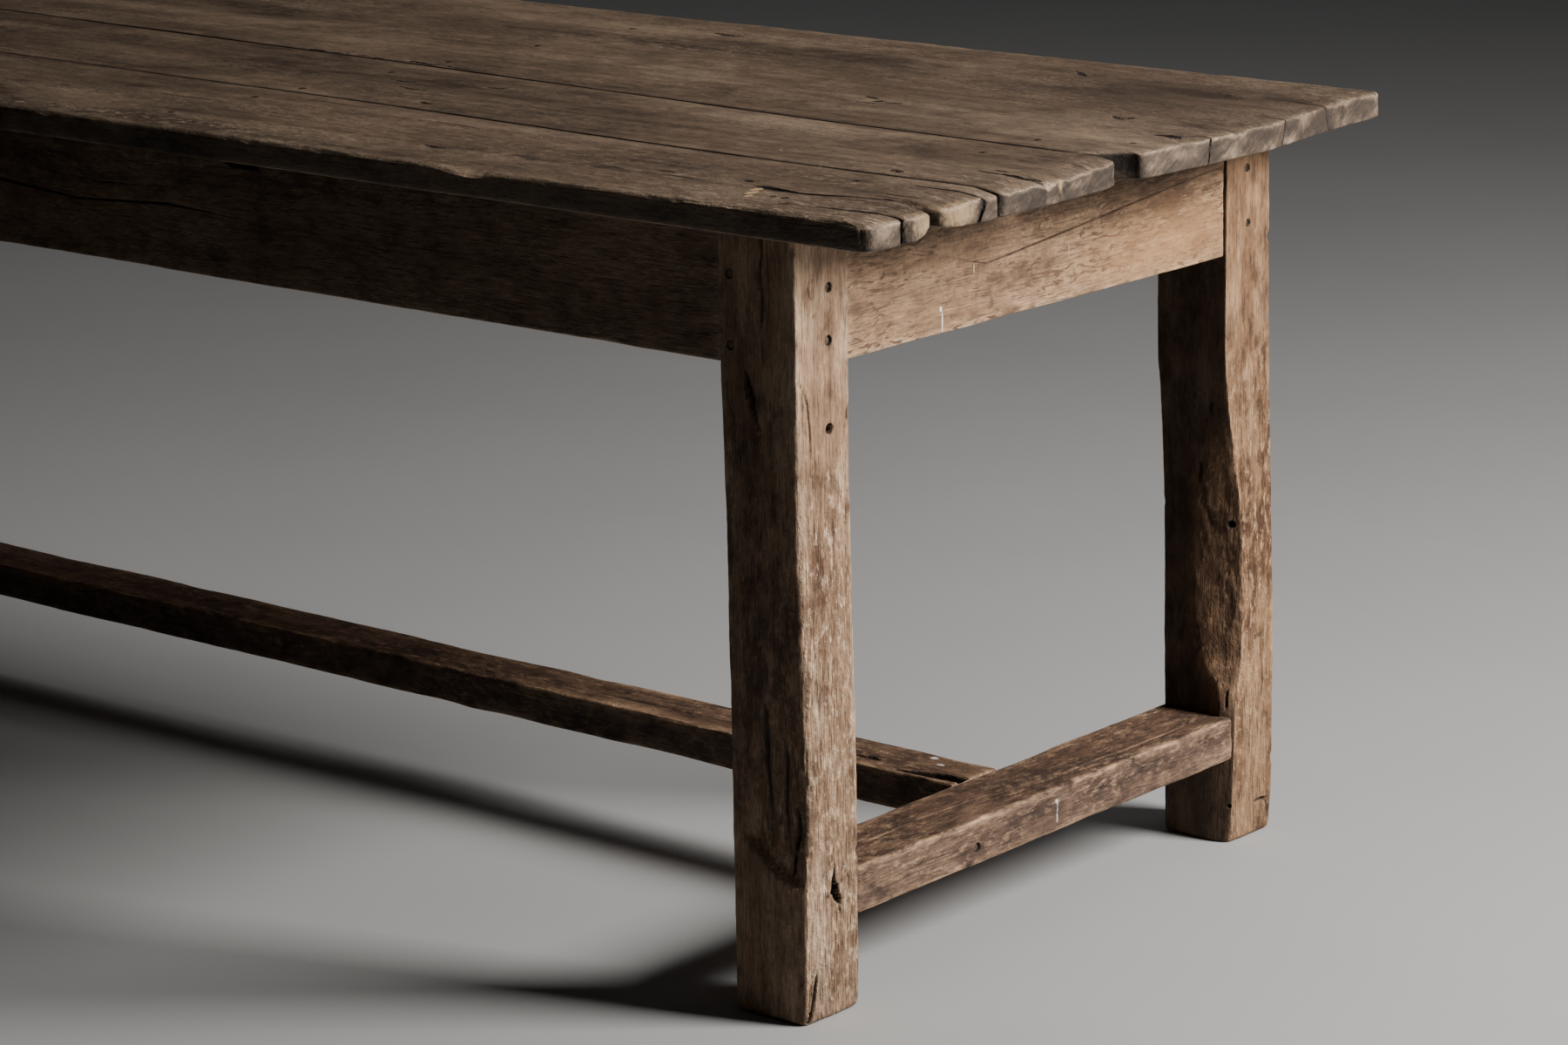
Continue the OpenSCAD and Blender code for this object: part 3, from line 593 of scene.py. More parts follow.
# %% Lattice skin
def skin(nx, ny, nz):
    """The index arrays of the outer points of a lattice, and its outward quads.

    The outer points are numbered in order. Each of the six sides is a grid of two indices, whose quads
    turn so that their normal, the product of its two directions, points out.
    """
    i, j, k = np.indices((nx, ny, nz))
    outer = (i % (nx - 1) == 0) | (j % (ny - 1) == 0) | (k % (nz - 1) == 0)
    number = np.full((nx, ny, nz), -1)
    number[outer] = np.arange(outer.sum())
    quads = []
    for axis, side in itertools.product(range(3), (0, -1)):
        plane = np.take(number, side, axis=axis)
        square = np.stack([plane[:-1, :-1], plane[1:, :-1], plane[1:, 1:], plane[:-1, 1:]], -1).reshape(-1, 4)
        quads.append(square if (side == -1) == (axis != 1) else square[:, ::-1])
    return i[outer], j[outer], k[outer], np.concatenate(quads)


def spread(*stops):
    """Places from the first stop to the last. Each stop is (place, step after it) in mm."""
    runs = [np.linspace(a, b, max(1, math.ceil((b - a) / gap)), endpoint=False)
            for (a, gap), (b, _) in zip(stops, stops[1:])]
    return np.concatenate(runs + [[stops[-1][0]]]) * mm


arris_mm = np.array([0, 0.5, 1.2, 2.2, 3.6, 5.4, 7.8, 11.0])
fine_reach_mm, fine_gap_mm = 7.0, 0.9


def planes(low, high, gap_mm, fine):
    """Places from low to high: close at both ends, gap_mm apart between, and finer round each fine place."""
    arris = arris_mm * mm * min(1.0, (high - low) / (30 * mm))
    middle = np.linspace(low + arris[-1], high - arris[-1], max(2, math.ceil((high - low) / (gap_mm * mm))))
    near = [np.arange(f - fine_reach_mm * mm, f + fine_reach_mm * mm, fine_gap_mm * mm) for f in fine]
    every = np.concatenate([low + arris, high - arris, middle, *near])
    every = np.unique(np.round(every[(every >= low) & (every <= high)] / (0.25 * mm))) * 0.25 * mm
    inside = every[(every > low + 0.3 * mm) & (every < high - 0.3 * mm)]
    return np.concatenate([[low], inside, [high]])


# %% [markdown]
# ## Rounding, grooves and pits
# Three moves shape every timber. Rounding pulls the points near an arris onto an arc. A groove pushes the
# points near a path into the face, and a pit does so round one point. How deep they go also says how dirty
# the place gets, because what lies deep stays dirty.

# %% Shaping helpers
def rounded(points, low, high, radius):
    """Rounds the arrises of a block.

    Each point's nearest point in the block that is smaller by the radius all round is found. A point that
    lies farther from it than the radius is pulled back to that distance.
    """
    radius = np.asarray(radius)[..., None]
    inner = np.clip(points, low + radius, high - radius)
    out = points - inner
    length = np.maximum(np.linalg.norm(out, axis=1, keepdims=True), 1e-9)
    return inner + out * np.minimum(1.0, radius / length)


def to_path(a, b, path):
    """Distance from each (a, b) to a path of (a, b, strength), and the strength at the nearest place."""
    path = np.array([tuple(p) + (1.0,) * (3 - len(p)) for p in path], float)
    best, strength = np.full(len(a), 1e9), np.zeros(len(a))
    for (a0, b0, s0), (a1, b1, s1) in zip(path, path[1:]):
        along = np.array([a1 - a0, b1 - b0])
        t = np.clip(((a - a0) * along[0] + (b - b0) * along[1]) / (along @ along), 0, 1)
        distance = np.hypot(a - a0 - t * along[0], b - b0 - t * along[1])
        nearer = distance < best
        best, strength = np.where(nearer, distance, best), np.where(nearer, s0 + t * (s1 - s0), strength)
    return best, strength


def groove(a, b, path, width, depth):
    """Depth in metres of a groove along a path, all in mm: deepest in its middle, gone at its width."""
    distance, strength = to_path(a / mm, b / mm, path)
    fall = np.clip(1 - distance / (width * np.maximum(strength, 0.05)), 0, 1)
    return depth * strength * fall * (2 - fall) * mm


def pit(a, b, centre, radius, depth):
    """Depth in metres of a round pit with a flat floor and a narrow sloping wall, all in mm."""
    wall = 0.9
    distance = np.hypot(a / mm - centre[0], b / mm - centre[1])
    return depth * np.clip((radius + wall / 2 - distance) / wall, 0, 1) * mm


# %% [markdown]
# ## From arrays to a piece
# A finished shape is a dictionary of arrays: its points, its quads, and for each point its grain
# coordinates and how worn it is, how dark it is from dirt and painted shade, and how weathered it is.
# Several shapes can be joined into one mesh, such as a set of pegs. The piece then rides on the table's
# one body and stands for its node.

# %% Piece helper
def shape(points, quads, grain, worn, dirt_and_shade, weather):
    """The arrays of one shape under their names."""
    return {"points": points, "quads": quads, "grain": grain, "worn": worn, "dirt_and_shade": dirt_and_shade, "weather": weather}


def mesh_piece(name, material, shapes):
    """Makes one object of one or more shapes, stands it for the node of its name and gives it its finish."""
    first = np.cumsum([0] + [len(s["points"]) for s in shapes[:-1]])
    points = np.concatenate([s["points"] for s in shapes])
    quads = np.concatenate([s["quads"] + f for s, f in zip(shapes, first)])
    mesh = bpy.data.meshes.new(name)
    mesh.vertices.add(len(points))
    mesh.vertices.foreach_set("co", points.ravel())
    mesh.loops.add(quads.size)
    mesh.loops.foreach_set("vertex_index", quads.ravel())
    mesh.polygons.add(len(quads))
    mesh.polygons.foreach_set("loop_start", np.arange(0, quads.size, 4))
    mesh.update(calc_edges=True)
    mesh.attributes.new("grain", "FLOAT_VECTOR", "POINT").data.foreach_set(
        "vector", np.concatenate([s["grain"] for s in shapes]).ravel())
    for key in (mask.lower() for mask in wear_masks):
        values = np.clip(np.concatenate([s[key] for s in shapes]), 0, 1)
        mesh.attributes.new(key, "FLOAT", "POINT").data.foreach_set("value", values)
    mesh.shade_smooth()
    mesh.materials.append(material)
    piece = bpy.data.objects.new("old_" + name, mesh)
    bpy.context.collection.objects.link(piece)
    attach(piece, "root")
    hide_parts(name)
    print(name, "triangles:", 2 * len(quads))


# %% [markdown]
# ## The boards of the top
# A board is about 26 mm thick and as long as the table. Its cracks follow its grain, so the lattice does
# too: its lines along the board bend with each crack, with two lines on the crack's floor and two on each of
# its lips. A crack is then a sharp, deep, dark slot even where it is only a millimetre wide. The ends are
# worn into a slope, deepest at the front boards, and their end grain is chopped: noise that is long one way
# leaves ridges along the end, and the same on turned axes leaves slanting ones. The outer edges are worn
# round.

# %% Cracks and lines along a board
lip_mm = 1.4


def crack(route, widths, depths, wander_mm=1.0, seed=1.0, slant_mm=0.0):
    """A crack: its y along the board, its half width and its depth, each a function of the frame's x.

    Slow noise along x moves the route to and fro by wander_mm, and opens and closes it. slant_mm is how far
    it has moved to the back where it reaches the underside.
    """
    middle, width, depth = x_curve(*route, soft=3), curve(*widths, soft=4), curve(*depths, soft=4)

    def sway(x, cell, pattern):
        return rough(np.stack([x, 0 * x, 0 * x], 1), (cell, 70, 70), pattern)

    return {"y": lambda x: middle(x) + wander_mm * mm * sway(x, 60, seed),
            "half": lambda x: width(x - corner[0]) / 2 * (1 + 0.35 * sway(x, 24, seed + 1)),
            "depth": lambda x: depth(x - corner[0]), "slant": slant_mm * mm}


def lines_along(x, front, back, cracks, gap_mm):
    """The y of every lattice line at every station x, and for each line the crack whose floor it is, or -1.

    From the front edge: close lines at the edge, even fill to the first crack, six lines at it, and so on.
    """
    lines, floor = [front + m * mm for m in arris_mm], [-1] * len(arris_mm)

    def fill(until):
        count = max(1, round(float(np.mean(until - lines[-1])) / (gap_mm * mm)))
        start = lines[-1]
        for share in np.arange(1, count) / count:
            lines.append(start + (until - start) * share)
            floor.append(-1)

    for number, one in enumerate(cracks):
        y, half = one["y"](x), one["half"](x) + 0.15 * mm
        fill(y - half - lip_mm * mm)
        for offset, of in ((-half - lip_mm * mm, -1), (-half, -1), (-half * 0.6, number),
                           (half * 0.6, number), (half, -1), (half + lip_mm * mm, -1)):
            lines.append(y + offset)
            floor.append(of)
    fill(back - arris_mm[-1] * mm)
    lines += [back - m * mm for m in arris_mm[::-1]]
    floor += [-1] * len(arris_mm)
    return np.stack(lines, 1), np.array(floor)


# %% One board
def across(*pairs, soft=3):
    """A function of the frame's y from (y, value) pairs in mm."""
    inner = curve(*pairs, soft=soft)
    return lambda y: inner(y - corner[1])


# At the right end: how far the top has sunk, over what run, how round its arris is, how much is gone from
# underneath, and where golden wood shows in the end grain.
end_sink = across((-51, 1.6), (-6, 2.6), (1, 3.4), (5, 2.2), (30, 3.6), (48, 6.5), (51, 7), (56, 6),
                  (62, 4.5), (115, 4.5), (150, 4.8), (240, 5.0), (300, 4.0), (335, 2.6), (345, 1.6),
                  (400, 1.0), (800, 0.8), soft=1)
end_run = across((-51, 22), (29, 30), (87, 34), (154, 30), (207, 36), (287, 33), (339, 22), (396, 14),
                 (800, 12))
end_arris = across((-4, 3.2), (4, 2.2), (40, 3.4), (50, 5), (60, 2.6), (150, 2.2), (240, 1.8), (330, 2.2),
                   (345, 1.4), (800, 1.8), soft=2)
end_gone = across((8, 0.5), (20, 2.0), (30, 5.5), (40, 11), (50, 17), (53, 9), (58, 6), (70, 4.0),
                  (90, 2.5), (115, 1.5), (130, 0.8), (800, 0.5), soft=1)
end_gold = across((48, 0.6), (60, 0.65), (105, 0.5), (120, 0.1), (200, 0.0), (240, 0.15), (380, 0.1),
                  (470, 0.0))
stations_mm = ((-1330, 0.6), (-1326, 1.6), (-1318, 4), (-1290, 14), (-700, 13), (-200, 9), (500, 6.0),
               (900, 4.0), (1180, 2.6), (1270, 1.6), (1318, 0.9), (1326, 0.5), (1330, 1))
level_shares = np.array([0, 0.8, 2.2, 5, 10, 15, 19, 22, 24, 25.3, 26]) / 26
notch_back_mm = 371.4


def board(front, back, left_end, right_end, cracks, dips, gap_mm, edge_wear, seed, broken_corner=0.0):
    """One board of the top as a shape.

    front and back are the long edges and left_end and right_end the ends, as functions of x and of y.
    edge_wear gives the radius in mm of its front and its back arris. A dip is (x, y, size, depth) in mm.
    broken_corner is 1 where the front corner of the right end has broken off, as far back as notch_back_mm,
    and is darkened with dirt and painted shade, as the notch lies deep in shadow.
    """
    nominal = spread(*stations_mm)
    lines, floor = lines_along(nominal, front(nominal), back(nominal), cracks, gap_mm)
    thick = table_h - board_low
    levels = board_low + level_shares * thick
    i, j, k, quads = skin(len(nominal), lines.shape[1], len(levels))
    x0, y = nominal[i], lines[i, j]
    x_low, x_high = left_end(y), right_end(y)
    x = x_low + (x0 - nominal[0]) / (nominal[-1] - nominal[0]) * (x_high - x_low)
    points = np.stack([x, y, levels[k]], 1)
    waver = noise_of(points, seed)
    up = (points[:, 2] - board_low) / thick
    outer_front = front(x0)[0] < top_low[1] + 10 * mm
    outer_back = back(x0)[0] > top_high[1] - 10 * mm

    # The arrises, with radii of their own at the ends: rounder at the top's corners, sharper underneath.
    low = np.stack([x_low, front(x0), np.full(len(x), board_low)], 1)
    high = np.stack([x_high, back(x0), np.full(len(x), table_h)], 1)
    from_left, from_right = x - x_low, x_high - x
    from_end = np.minimum(from_left, from_right)
    from_front, from_back = y - low[:, 1], high[:, 1] - y
    radius = np.where(from_front < from_back, edge_wear[0], edge_wear[1])
    arris = np.where(x > 0, end_arris(y) / mm, 3.5)
    radius += (arris - radius) * ramp(from_end, 10)
    near_corner = (from_front < 16 * mm) & outer_front | (from_back < 16 * mm) & outer_back
    by_end = ramp(from_end, 16)
    radius += 4 * near_corner * by_end
    radius *= 1 + (0.25 + 0.3 * by_end) * waver((42, 13, 300), 0)
    radius *= np.where(up > 0.5, 1.0, 0.6)
    moved = rounded(points, low, high, np.clip(radius, 0.6, 10.5) * mm)

    # What is gone from above: the worn ends, slow and fine waves, nicks at the rims, dips and cracks.
    run = np.where(x > 0, end_run(y), 14 * mm)
    sink = np.where(x > 0, end_sink(y), 2 * mm)
    slide = np.clip(1 - from_end / run, 0, 1)
    drop = sink * slide ** 1.4 * (1 + 0.25 * waver((60, 16, 400), 2))
    drop += 0.45 * mm * (1 + 0.6 * waver((260, 60, 400), 3))
    drop += 0.16 * mm * (1 + waver((50, 7, 400), 5))
    to_edge = np.minimum(np.where(outer_front, from_front, 1.0), from_end)
    nicks = np.clip(waver((24, 22, 400), 9) - 0.92 + 0.35 * by_end, 0, 1)
    nicks *= ramp(to_edge, 9)
    rim = np.clip(waver((300, 10, 400), 21) - 0.30, 0, 1) * decay(from_end, 6)
    drop += 8 * mm * nicks + 3 * mm * rim
    dips = [(x - place(at_x)[0], y - place(0, at_y)[1], size * mm, deep * mm)
            for at_x, at_y, size, deep in dips]
    for dx, dy, size, deep in dips:
        drop += deep * np.exp(-(np.hypot(dx / 1.6, dy) / size) ** 2)
    dirt_and_shade = 0.9 * rim * (up > 0.5)
    for number, one in enumerate(cracks):
        depth = one["depth"](x)
        drop += np.where(floor[j] == number, depth, 0)
        lips = decay(np.maximum(np.abs(y - one["y"](x0)) - one["half"](x0), 0), 1)
        dirt_and_shade = np.maximum(dirt_and_shade, lips * np.clip(depth / (2.5 * mm), 0, 1) * 1.2)
    moved[:, 2] -= np.clip(drop, 0, thick - 1.5 * mm) * up
    # What is gone from below, the slant of the cracks at the ends, and the chopped end faces.
    gone = np.where(x > 0, end_gone(y), 1 * mm) * ramp(from_end, 24)
    moved[:, 2] += np.clip(gone, 0, 18 * mm) * (1 - up) ** 1.5
    for one in cracks:
        near = np.exp(-((y - one["y"](x0)) / (9 * mm)) ** 2) * ramp(from_end, 40)
        moved[:, 1] += one["slant"] * near * ((1 - up) + 0.25 * waver((300, 300, 8), 17))
    strokes = np.stack([x, 0.8 * y + 0.6 * points[:, 2], 0.6 * y - 0.8 * points[:, 2]], 1)
    chopped = 0.6 * mm * waver((300, 9, 7), 15)
    chopped += 0.7 * mm * rough(strokes, (300, 30, 6), seed + 16)
    chopped = (np.abs(chopped) + chopped * 0.3) * ramp(from_end, 6)
    moved[:, 0] += np.where(from_left < from_right, chopped, -chopped)

    # The finish: dirt in the joints and cracks, painted shade on the front edge face, dirt and painted
    # shade in the broken corner, bare wood on the rims, and grey weathered wood at the ends.
    for outer, distance in ((outer_front, from_front), (outer_back, from_back)):
        if not outer:
            dirt_and_shade = np.maximum(dirt_and_shade, decay(distance, 1.8) * 1.2)
    # Painted shade: the lower part of the front board's front edge face, which looks to the front, is
    # darkened.
    if outer_front:
        dirt_and_shade = np.maximum(dirt_and_shade, 0.75 * ramp(from_front, 1.5) * np.clip(3 * (1 - up), 0, 1))
    shown_edge = np.minimum(from_end * 0.9, from_front if outer_front else 1.0)
    on_end = from_end < 0.2 * mm
    rim_chips = np.clip(0.6 + 0.8 * waver((300, 11, 9), 19), 0, 1)
    worn = 0.85 * decay(np.maximum(shown_edge, 0), 4)
    worn *= np.where(on_end, rim_chips * smooth((up - 0.80) / 0.18), 1)
    worn += 0.8 * nicks + end_gold(y) * on_end
    worn += np.clip(0.5 * waver((210, 46, 400), 12), 0, 1) * 0.5
    weather = 0.05 + 0.25 * waver((240, 30, 400), 13)
    weather += 0.35 * (decay(from_end, 40) + (decay(from_front, 70) if outer_front else 0))
    weather = np.where(on_end, 0.45, weather)
    end_soil = 0.70 + 0.65 * waver((300, 22, 10), 18)
    end_soil -= 0.5 * smooth((up - 0.86) / 0.14) + 0.6 * end_gold(y)
    # Dirt and painted shade in the broken corner's notch: darkest in its upper part, less near the underside.
    in_notch = broken_corner * (x > 0) * (y < place(0, notch_back_mm)[1]) * smooth(1 - from_end / (10 * mm))
    notch_dirt_and_shade = 0.98 - 0.4 * smooth((0.4 - up) / 0.1)
    dirt_and_shade = np.maximum.reduce([dirt_and_shade, np.clip(end_soil, 0, 0.78) * on_end, notch_dirt_and_shade * in_notch])

    # The grain runs along the board, is seen end on in the end faces, and bends round the dips, as at knots.
    sawn = np.stack([0.8 * y + 0.6 * moved[:, 2], 0.55 * (0.6 * y - 0.8 * moved[:, 2]), moved[:, 0]], 1)
    grain = np.where(on_end[:, None], sawn, moved) + np.array([seed * 3.7, seed * 1.3, seed * 0.9])
    for dx, dy, size, _ in dips:
        grain[:, 1] -= 0.8 * dy * np.exp(-(dx / (3.2 * size)) ** 2 - (dy / (1.7 * size)) ** 2)
    return shape(moved, quads, grain, worn, dirt_and_shade, weather)


# %% [markdown]
# ### The three boards
# The front board narrows to the right end, where it has split into strips. The middle board is the
# narrowest. The back board is one wide plank, and its front corner at the right end has broken off. The
# joints between them are open by about two millimetres.

# %% Joints and ends
half_joint = 1.0
joint_front = [(-2560, 234.5), (-1251, 184), (-738, 173), (-554, 166), (-351, 155), (-170, 149), (130, 147)]
joint_back = [(-2560, 444), (-1504, 402), (-787, 374), (-214, 343), (-85, 341), (50, 337), (130, 336)]


def beside(pairs, offset):
    """A joint's line moved by an offset in mm."""
    return x_curve(*[(x, y + offset) for x, y in pairs], soft=30)


def end_curve(*pairs, soft=1.2):
    """The x of a board's right end as a function of y, from (y, x) pairs in mm from the corner."""
    inner = curve(*pairs, soft=soft)
    return lambda y: np.minimum(corner[0] + inner(y - corner[1]), top_high[0])


def left_curve(*pairs):
    """The x of a board's left end, from (y, how far it stands back) pairs in mm."""
    inner = curve(*pairs, soft=4)
    return lambda y: top_low[0] + inner(y - corner[1])


front_edge = lambda x: top_low[1] + 0 * x
back_edge = lambda x: top_high[1] + 0 * x

front_board = board(
    front_edge, beside(joint_front, -half_joint),
    left_curve((-51, 30), (-40, 15), (-17, 6), (63, 0.5), (163, 0.5), (235, 4.5)),
    end_curve((-51, 116), (-48, 121), (-42, 124), (-8, 124), (-3, 122), (-1, 119), (1, 117), (4, 121),
              (10, 124), (28, 123), (38, 120), (45, 114), (49, 105), (51, 94), (57, 92), (59, 108), (64, 114),
              (80, 117), (115, 115), (119, 112), (123, 112), (127, 115), (140, 114), (147, 110)),
    [crack([(-2560, -24), (-300, -16), (0, -9), (32, -8), (68, -5), (100, -3), (124, 1)],
           [(28, 0), (40, 1.6), (70, 3.4), (124, 5.0)],
           [(28, 0), (36, 4), (60, 24), (124, 25)], wander_mm=0.6, seed=2),
     crack([(-2560, 110), (-300, 60), (-90, 42), (-70, 36), (-20, 33), (10, 38), (36, 44), (70, 48),
            (100, 53), (124, 54)],
           [(-80, 0), (-66, 7), (-40, 8), (-15, 6), (20, 4.5), (38, 1.0), (60, 0.5), (84, 1.0), (92, 4),
            (124, 5)],
           [(-80, 0), (-64, 3.2), (-20, 4.5), (25, 5), (40, 3), (84, 4), (92, 18), (124, 24)],
           wander_mm=1.0, seed=4, slant_mm=3),
     crack([(-2560, 180), (-900, 152), (-300, 134), (20, 122), (60, 119), (100, 121), (124, 124)],
           [(36, 0), (50, 0.9), (90, 2.2), (124, 3.0)],
           [(36, 0), (50, 5), (90, 14), (124, 24)], wander_mm=0.8, seed=6, slant_mm=-9)],
    [(-340, -45, 16, 5.0), (-455, 25, 8, 1.5), (-4, -10, 5, 1.5), (-96, 54, 5, 1.2)],
    gap_mm=2.7, edge_wear=(8.0, 1.6), seed=1.0)

middle_board = board(
    beside(joint_front, half_joint), beside(joint_back, -half_joint),
    left_curve((235, 9), (340, 6), (446, 10)),
    end_curve((147, 108), (152, 113), (210, 114), (236, 112), (240, 110), (246, 112), (311, 107), (326, 104),
              (333, 100), (337, 93)),
    [crack([(-2560, 330), (-900, 262), (-300, 225), (40, 212), (70, 208), (88, 214), (107, 212)],
           [(36, 0), (60, 2.4), (84, 3.0), (100, 1.0), (110, 0.4)],
           [(36, 0), (60, 5), (84, 6), (100, 3), (110, 2)], wander_mm=2.0, seed=8)],
    [(-640, 205, 6, 3.0), (-715, 260, 8, 1.2), (-645, 310, 7, 1.0), (-755, 288, 7, 1.0), (84, 212, 9, 1.5)],
    gap_mm=2.7, edge_wear=(1.6, 1.6), seed=2.0)

back_board = board(
    beside(joint_back, half_joint), back_edge,
    left_curve((446, 6), (550, 3), (661, 7.5), (751, 12), (780, 18), (790, 28)),
    end_curve((337, 58), (344, 68), (355, 79), (364, 86), (370, 92), (371.5, 101.5), (376, 103), (470, 109),
              (474, 106), (478, 109), (566, 111), (597, 107), (600, 104), (603, 107), (642, 101), (678, 97),
              (681, 94), (684, 97), (726, 92), (777, 91), (784, 89), (790, 84)),
    [crack([(-2560, 420), (-300, 371), (110, 371)], [(-2560, 0.8), (110, 0.8)], [(-2560, 0), (110, 0)], 0.0,
           seed=9),
     crack([(-2560, 500), (-300, 470), (58, 455), (75, 458), (92, 460), (112, 474)],
           [(54, 0), (64, 5), (84, 5), (94, 0.8), (115, 1.0)],
           [(54, 0), (62, 7), (86, 8), (94, 2), (115, 14)], seed=10, slant_mm=-4),
     crack([(-2560, 640), (-300, 610), (110, 600)],
           [(70, 0), (92, 0.6), (115, 1.2)], [(70, 0), (92, 2), (115, 18)], seed=12, slant_mm=-7),
     crack([(-2560, 720), (-300, 700), (20, 690), (110, 681)],
           [(40, 0), (75, 0.6), (115, 1.6)], [(40, 0), (75, 2), (115, 22)], seed=14, slant_mm=7)],
    [(-690, 715, 10, 1.2), (-292, 465, 12, 1.6), (-218, 712, 9, 1.5), (-29, 515, 7, 1.2),
     (-46, 676, 20, 0.8)],
    gap_mm=5.0, edge_wear=(1.6, 8.0), seed=3.0, broken_corner=1.0)
boards = {"board_front": front_board, "board_middle": middle_board, "board_back": back_board}
for name, one in boards.items():
    mesh_piece(name, top_oak, [one])

# %% [markdown]
# ## The legs
# A leg is hewn from one balk. Its faces aren't parallel: the near legs swell towards the foot, and the far
# ones lean out and keep a facet where the balk had bark. The lattice runs up the leg, its outline at each
# height is a curve of the height, and the outer corner is pushed in where it's worn or waney.

# %% Leg shape
leg_top = leg_high[2]
damp_high, damp_fade = 0.54, 0.08
# painted_front_shade is painted shade: how dark the legs' front faces are made, as they stand in shadow.
painted_front_shade = 0.47
frame_width = box("leg_back_right")[1][1] - corner[1]


def tall(*pairs, soft=14):
    """A function of the height from (height, value) pairs in mm."""
    return curve(*pairs, soft=soft)


def on_face(mask, a, z, cuts, holes):
    """How deep the grooves and holes of one face are, and how dark the rims of the holes are, as a dark joint
    with painted shade round a peg.
    """
    deep, rim = np.zeros(len(a)), np.zeros(len(a))
    for path, wide, depth in cuts:
        deep = np.maximum(deep, groove(a, z, path, wide, depth))
    for a0, z0, size, depth in holes:
        deep = np.maximum(deep, pit(a, z, (a0, z0), size, depth))
        # A dark ring at each hole's edge: a dark joint with painted shade in the gap round the peg.
        rim = np.maximum(rim, np.clip(1.6 - np.abs(np.hypot(a / mm - a0, z / mm - z0) - size) / 0.9, 0, 1))
    return deep * mask, rim * mask


def leg(name, side_x, inner, front, back, waney, arris, end_marks, front_marks, seed, gap_mm, soiled, grime_and_shade):
    """One leg as a shape.

    u runs inwards from the outer x face and w to the back from the measuring corner. inner(z) is the depth
    of the leg, front(u, z) and back(z) are its two long faces, and waney(u, z) from 0 to 1 says where the
    surface is hewn or rotten, which is dirty by the share soiled. grime_and_shade darkens the rest of the
    leg, less on the waney part, and the foot has some more. The front face is always in the shade, so it
    gets painted shade of at least painted_front_shade, and 2.2 times grime_and_shade more outside the
    waney part; its weathering is cut down there too. Damp has weathered the leg up to damp_high metres. A
    point between the faces keeps its share: w = front + share (back - front). Marks are (cuts, holes, fine
    places) on the outer x face, at (y, z), and on the front face, at (x, z). The lattice is finer across
    the leg at the holes and at the fine places.
    """
    box_low, box_high = box(name)
    depth = box_high[0] - box_low[0]
    outer_x = box_high[0] if side_x > 0 else box_low[0]
    low = np.array([0, box_low[1] - corner[1], 0])
    high = np.array([depth, box_high[1] - corner[1], leg_top])
    fine_x, fine_y = ([hole[0] for hole in marks[1]] + marks[2] for marks in (front_marks, end_marks))
    us = planes(low[0], high[0], gap_mm, [-f * mm for f in fine_x])
    ws = planes(low[1], high[1], gap_mm, [f * mm for f in fine_y])
    zs = planes(0, leg_top, gap_mm * 1.2, [hole[1] * mm for hole in end_marks[1] + front_marks[1]])
    i, j, k, quads = skin(len(us), len(ws), len(zs))
    raw = np.stack([us[i], ws[j], zs[k]], 1)
    fibre = raw[:, [2, 0, 1]] + seed
    waver = noise_of(fibre, seed)
    share = (raw - low) / (high - low)
    # The arrises, of which the outer front one is the worn one, on a straight block.
    outer = np.clip((1 - share[:, 0]) * (1 - share[:, 1]), 0, 1) ** 2
    radius = 2.0 + (arris(raw[:, 2]) / mm - 2.0) * outer
    radius *= 1 + 0.45 * waver((45, 30, 30), 0) + 0.3 * waver((9, 30, 30), 1)
    radius = np.where(raw[:, 2] > leg_top - 12 * mm, 1.0, radius + 3.5 * ramp(raw[:, 2], 9))
    points = rounded(raw, low, high, np.clip(radius, 0.7, 9) * mm)
    # The block bent to the leg's outline, then its waves and nicks, then the marks of its two seen faces.
    z = points[:, 2]
    share = (points - low) / (high - low)
    u = share[:, 0] * inner(z)
    w = front(u, z) + share[:, 1] * (back(z) - front(u, z))

    rot = waney(u, z) * (1 - share[:, 1]) ** 1.5
    wave = 0.35 * mm * waver((190, 26, 26), 2) + 0.20 * mm * waver((34, 5, 5), 4)
    wave += rot * mm * (1.1 * waver((30, 12, 12), 6) + 0.5 * waver((22, 4, 4), 7))
    nicks = np.clip(waver((26, 40, 40), 8) - 0.75, 0, 1) * 5 * mm
    edge = np.minimum(raw - low, high - raw)[:, :2].max(axis=1)
    wave += nicks * decay(edge, 6)
    u += wave * (1 - 2 * share[:, 0])
    w += wave * (1 - 2 * share[:, 1])

    end_deep, end_rim = on_face(raw[:, 0] == us[0], w, z, *end_marks[:2])
    front_deep, front_rim = on_face(raw[:, 1] == ws[0], -u, z, *front_marks[:2])
    u += end_deep
    w += front_deep
    deep = np.maximum(end_deep, front_deep)
    # The finish.
    on_front = raw[:, 1] == ws[0]
    # Painted shade on the front face, which stands in shadow, and more on the far legs outside the waney
    # facet.
    painted_shade = (painted_front_shade + 2.2 * grime_and_shade * (1 - waney(u, z))) * on_front
    splashed = 0.22 * decay(z, 70) * (1 + waver((60, 30, 30), 14))
    dirt_and_shade = np.maximum.reduce([
        np.clip(deep / (2.2 * mm) - 0.2, 0, 1), grime_and_shade * (1 - 0.8 * waney(u, z)) + splashed, end_rim,
        front_rim, painted_shade, rot * (soiled + 0.40 * waver((50, 9, 9), 9)), 0.5 * ramp(z, 14)])
    worn = decay(edge, 4) * (0.55 + 0.4 * waver((30, 9, 9), 10))
    worn += 0.55 * np.clip(0.2 + waver((90, 20, 20), 11), 0, 1) ** 1.5
    low_part = np.clip((damp_high - z) / damp_fade, 0, 1)
    weather = low_part * (0.75 + 0.3 * waver((90, 24, 24), 13))
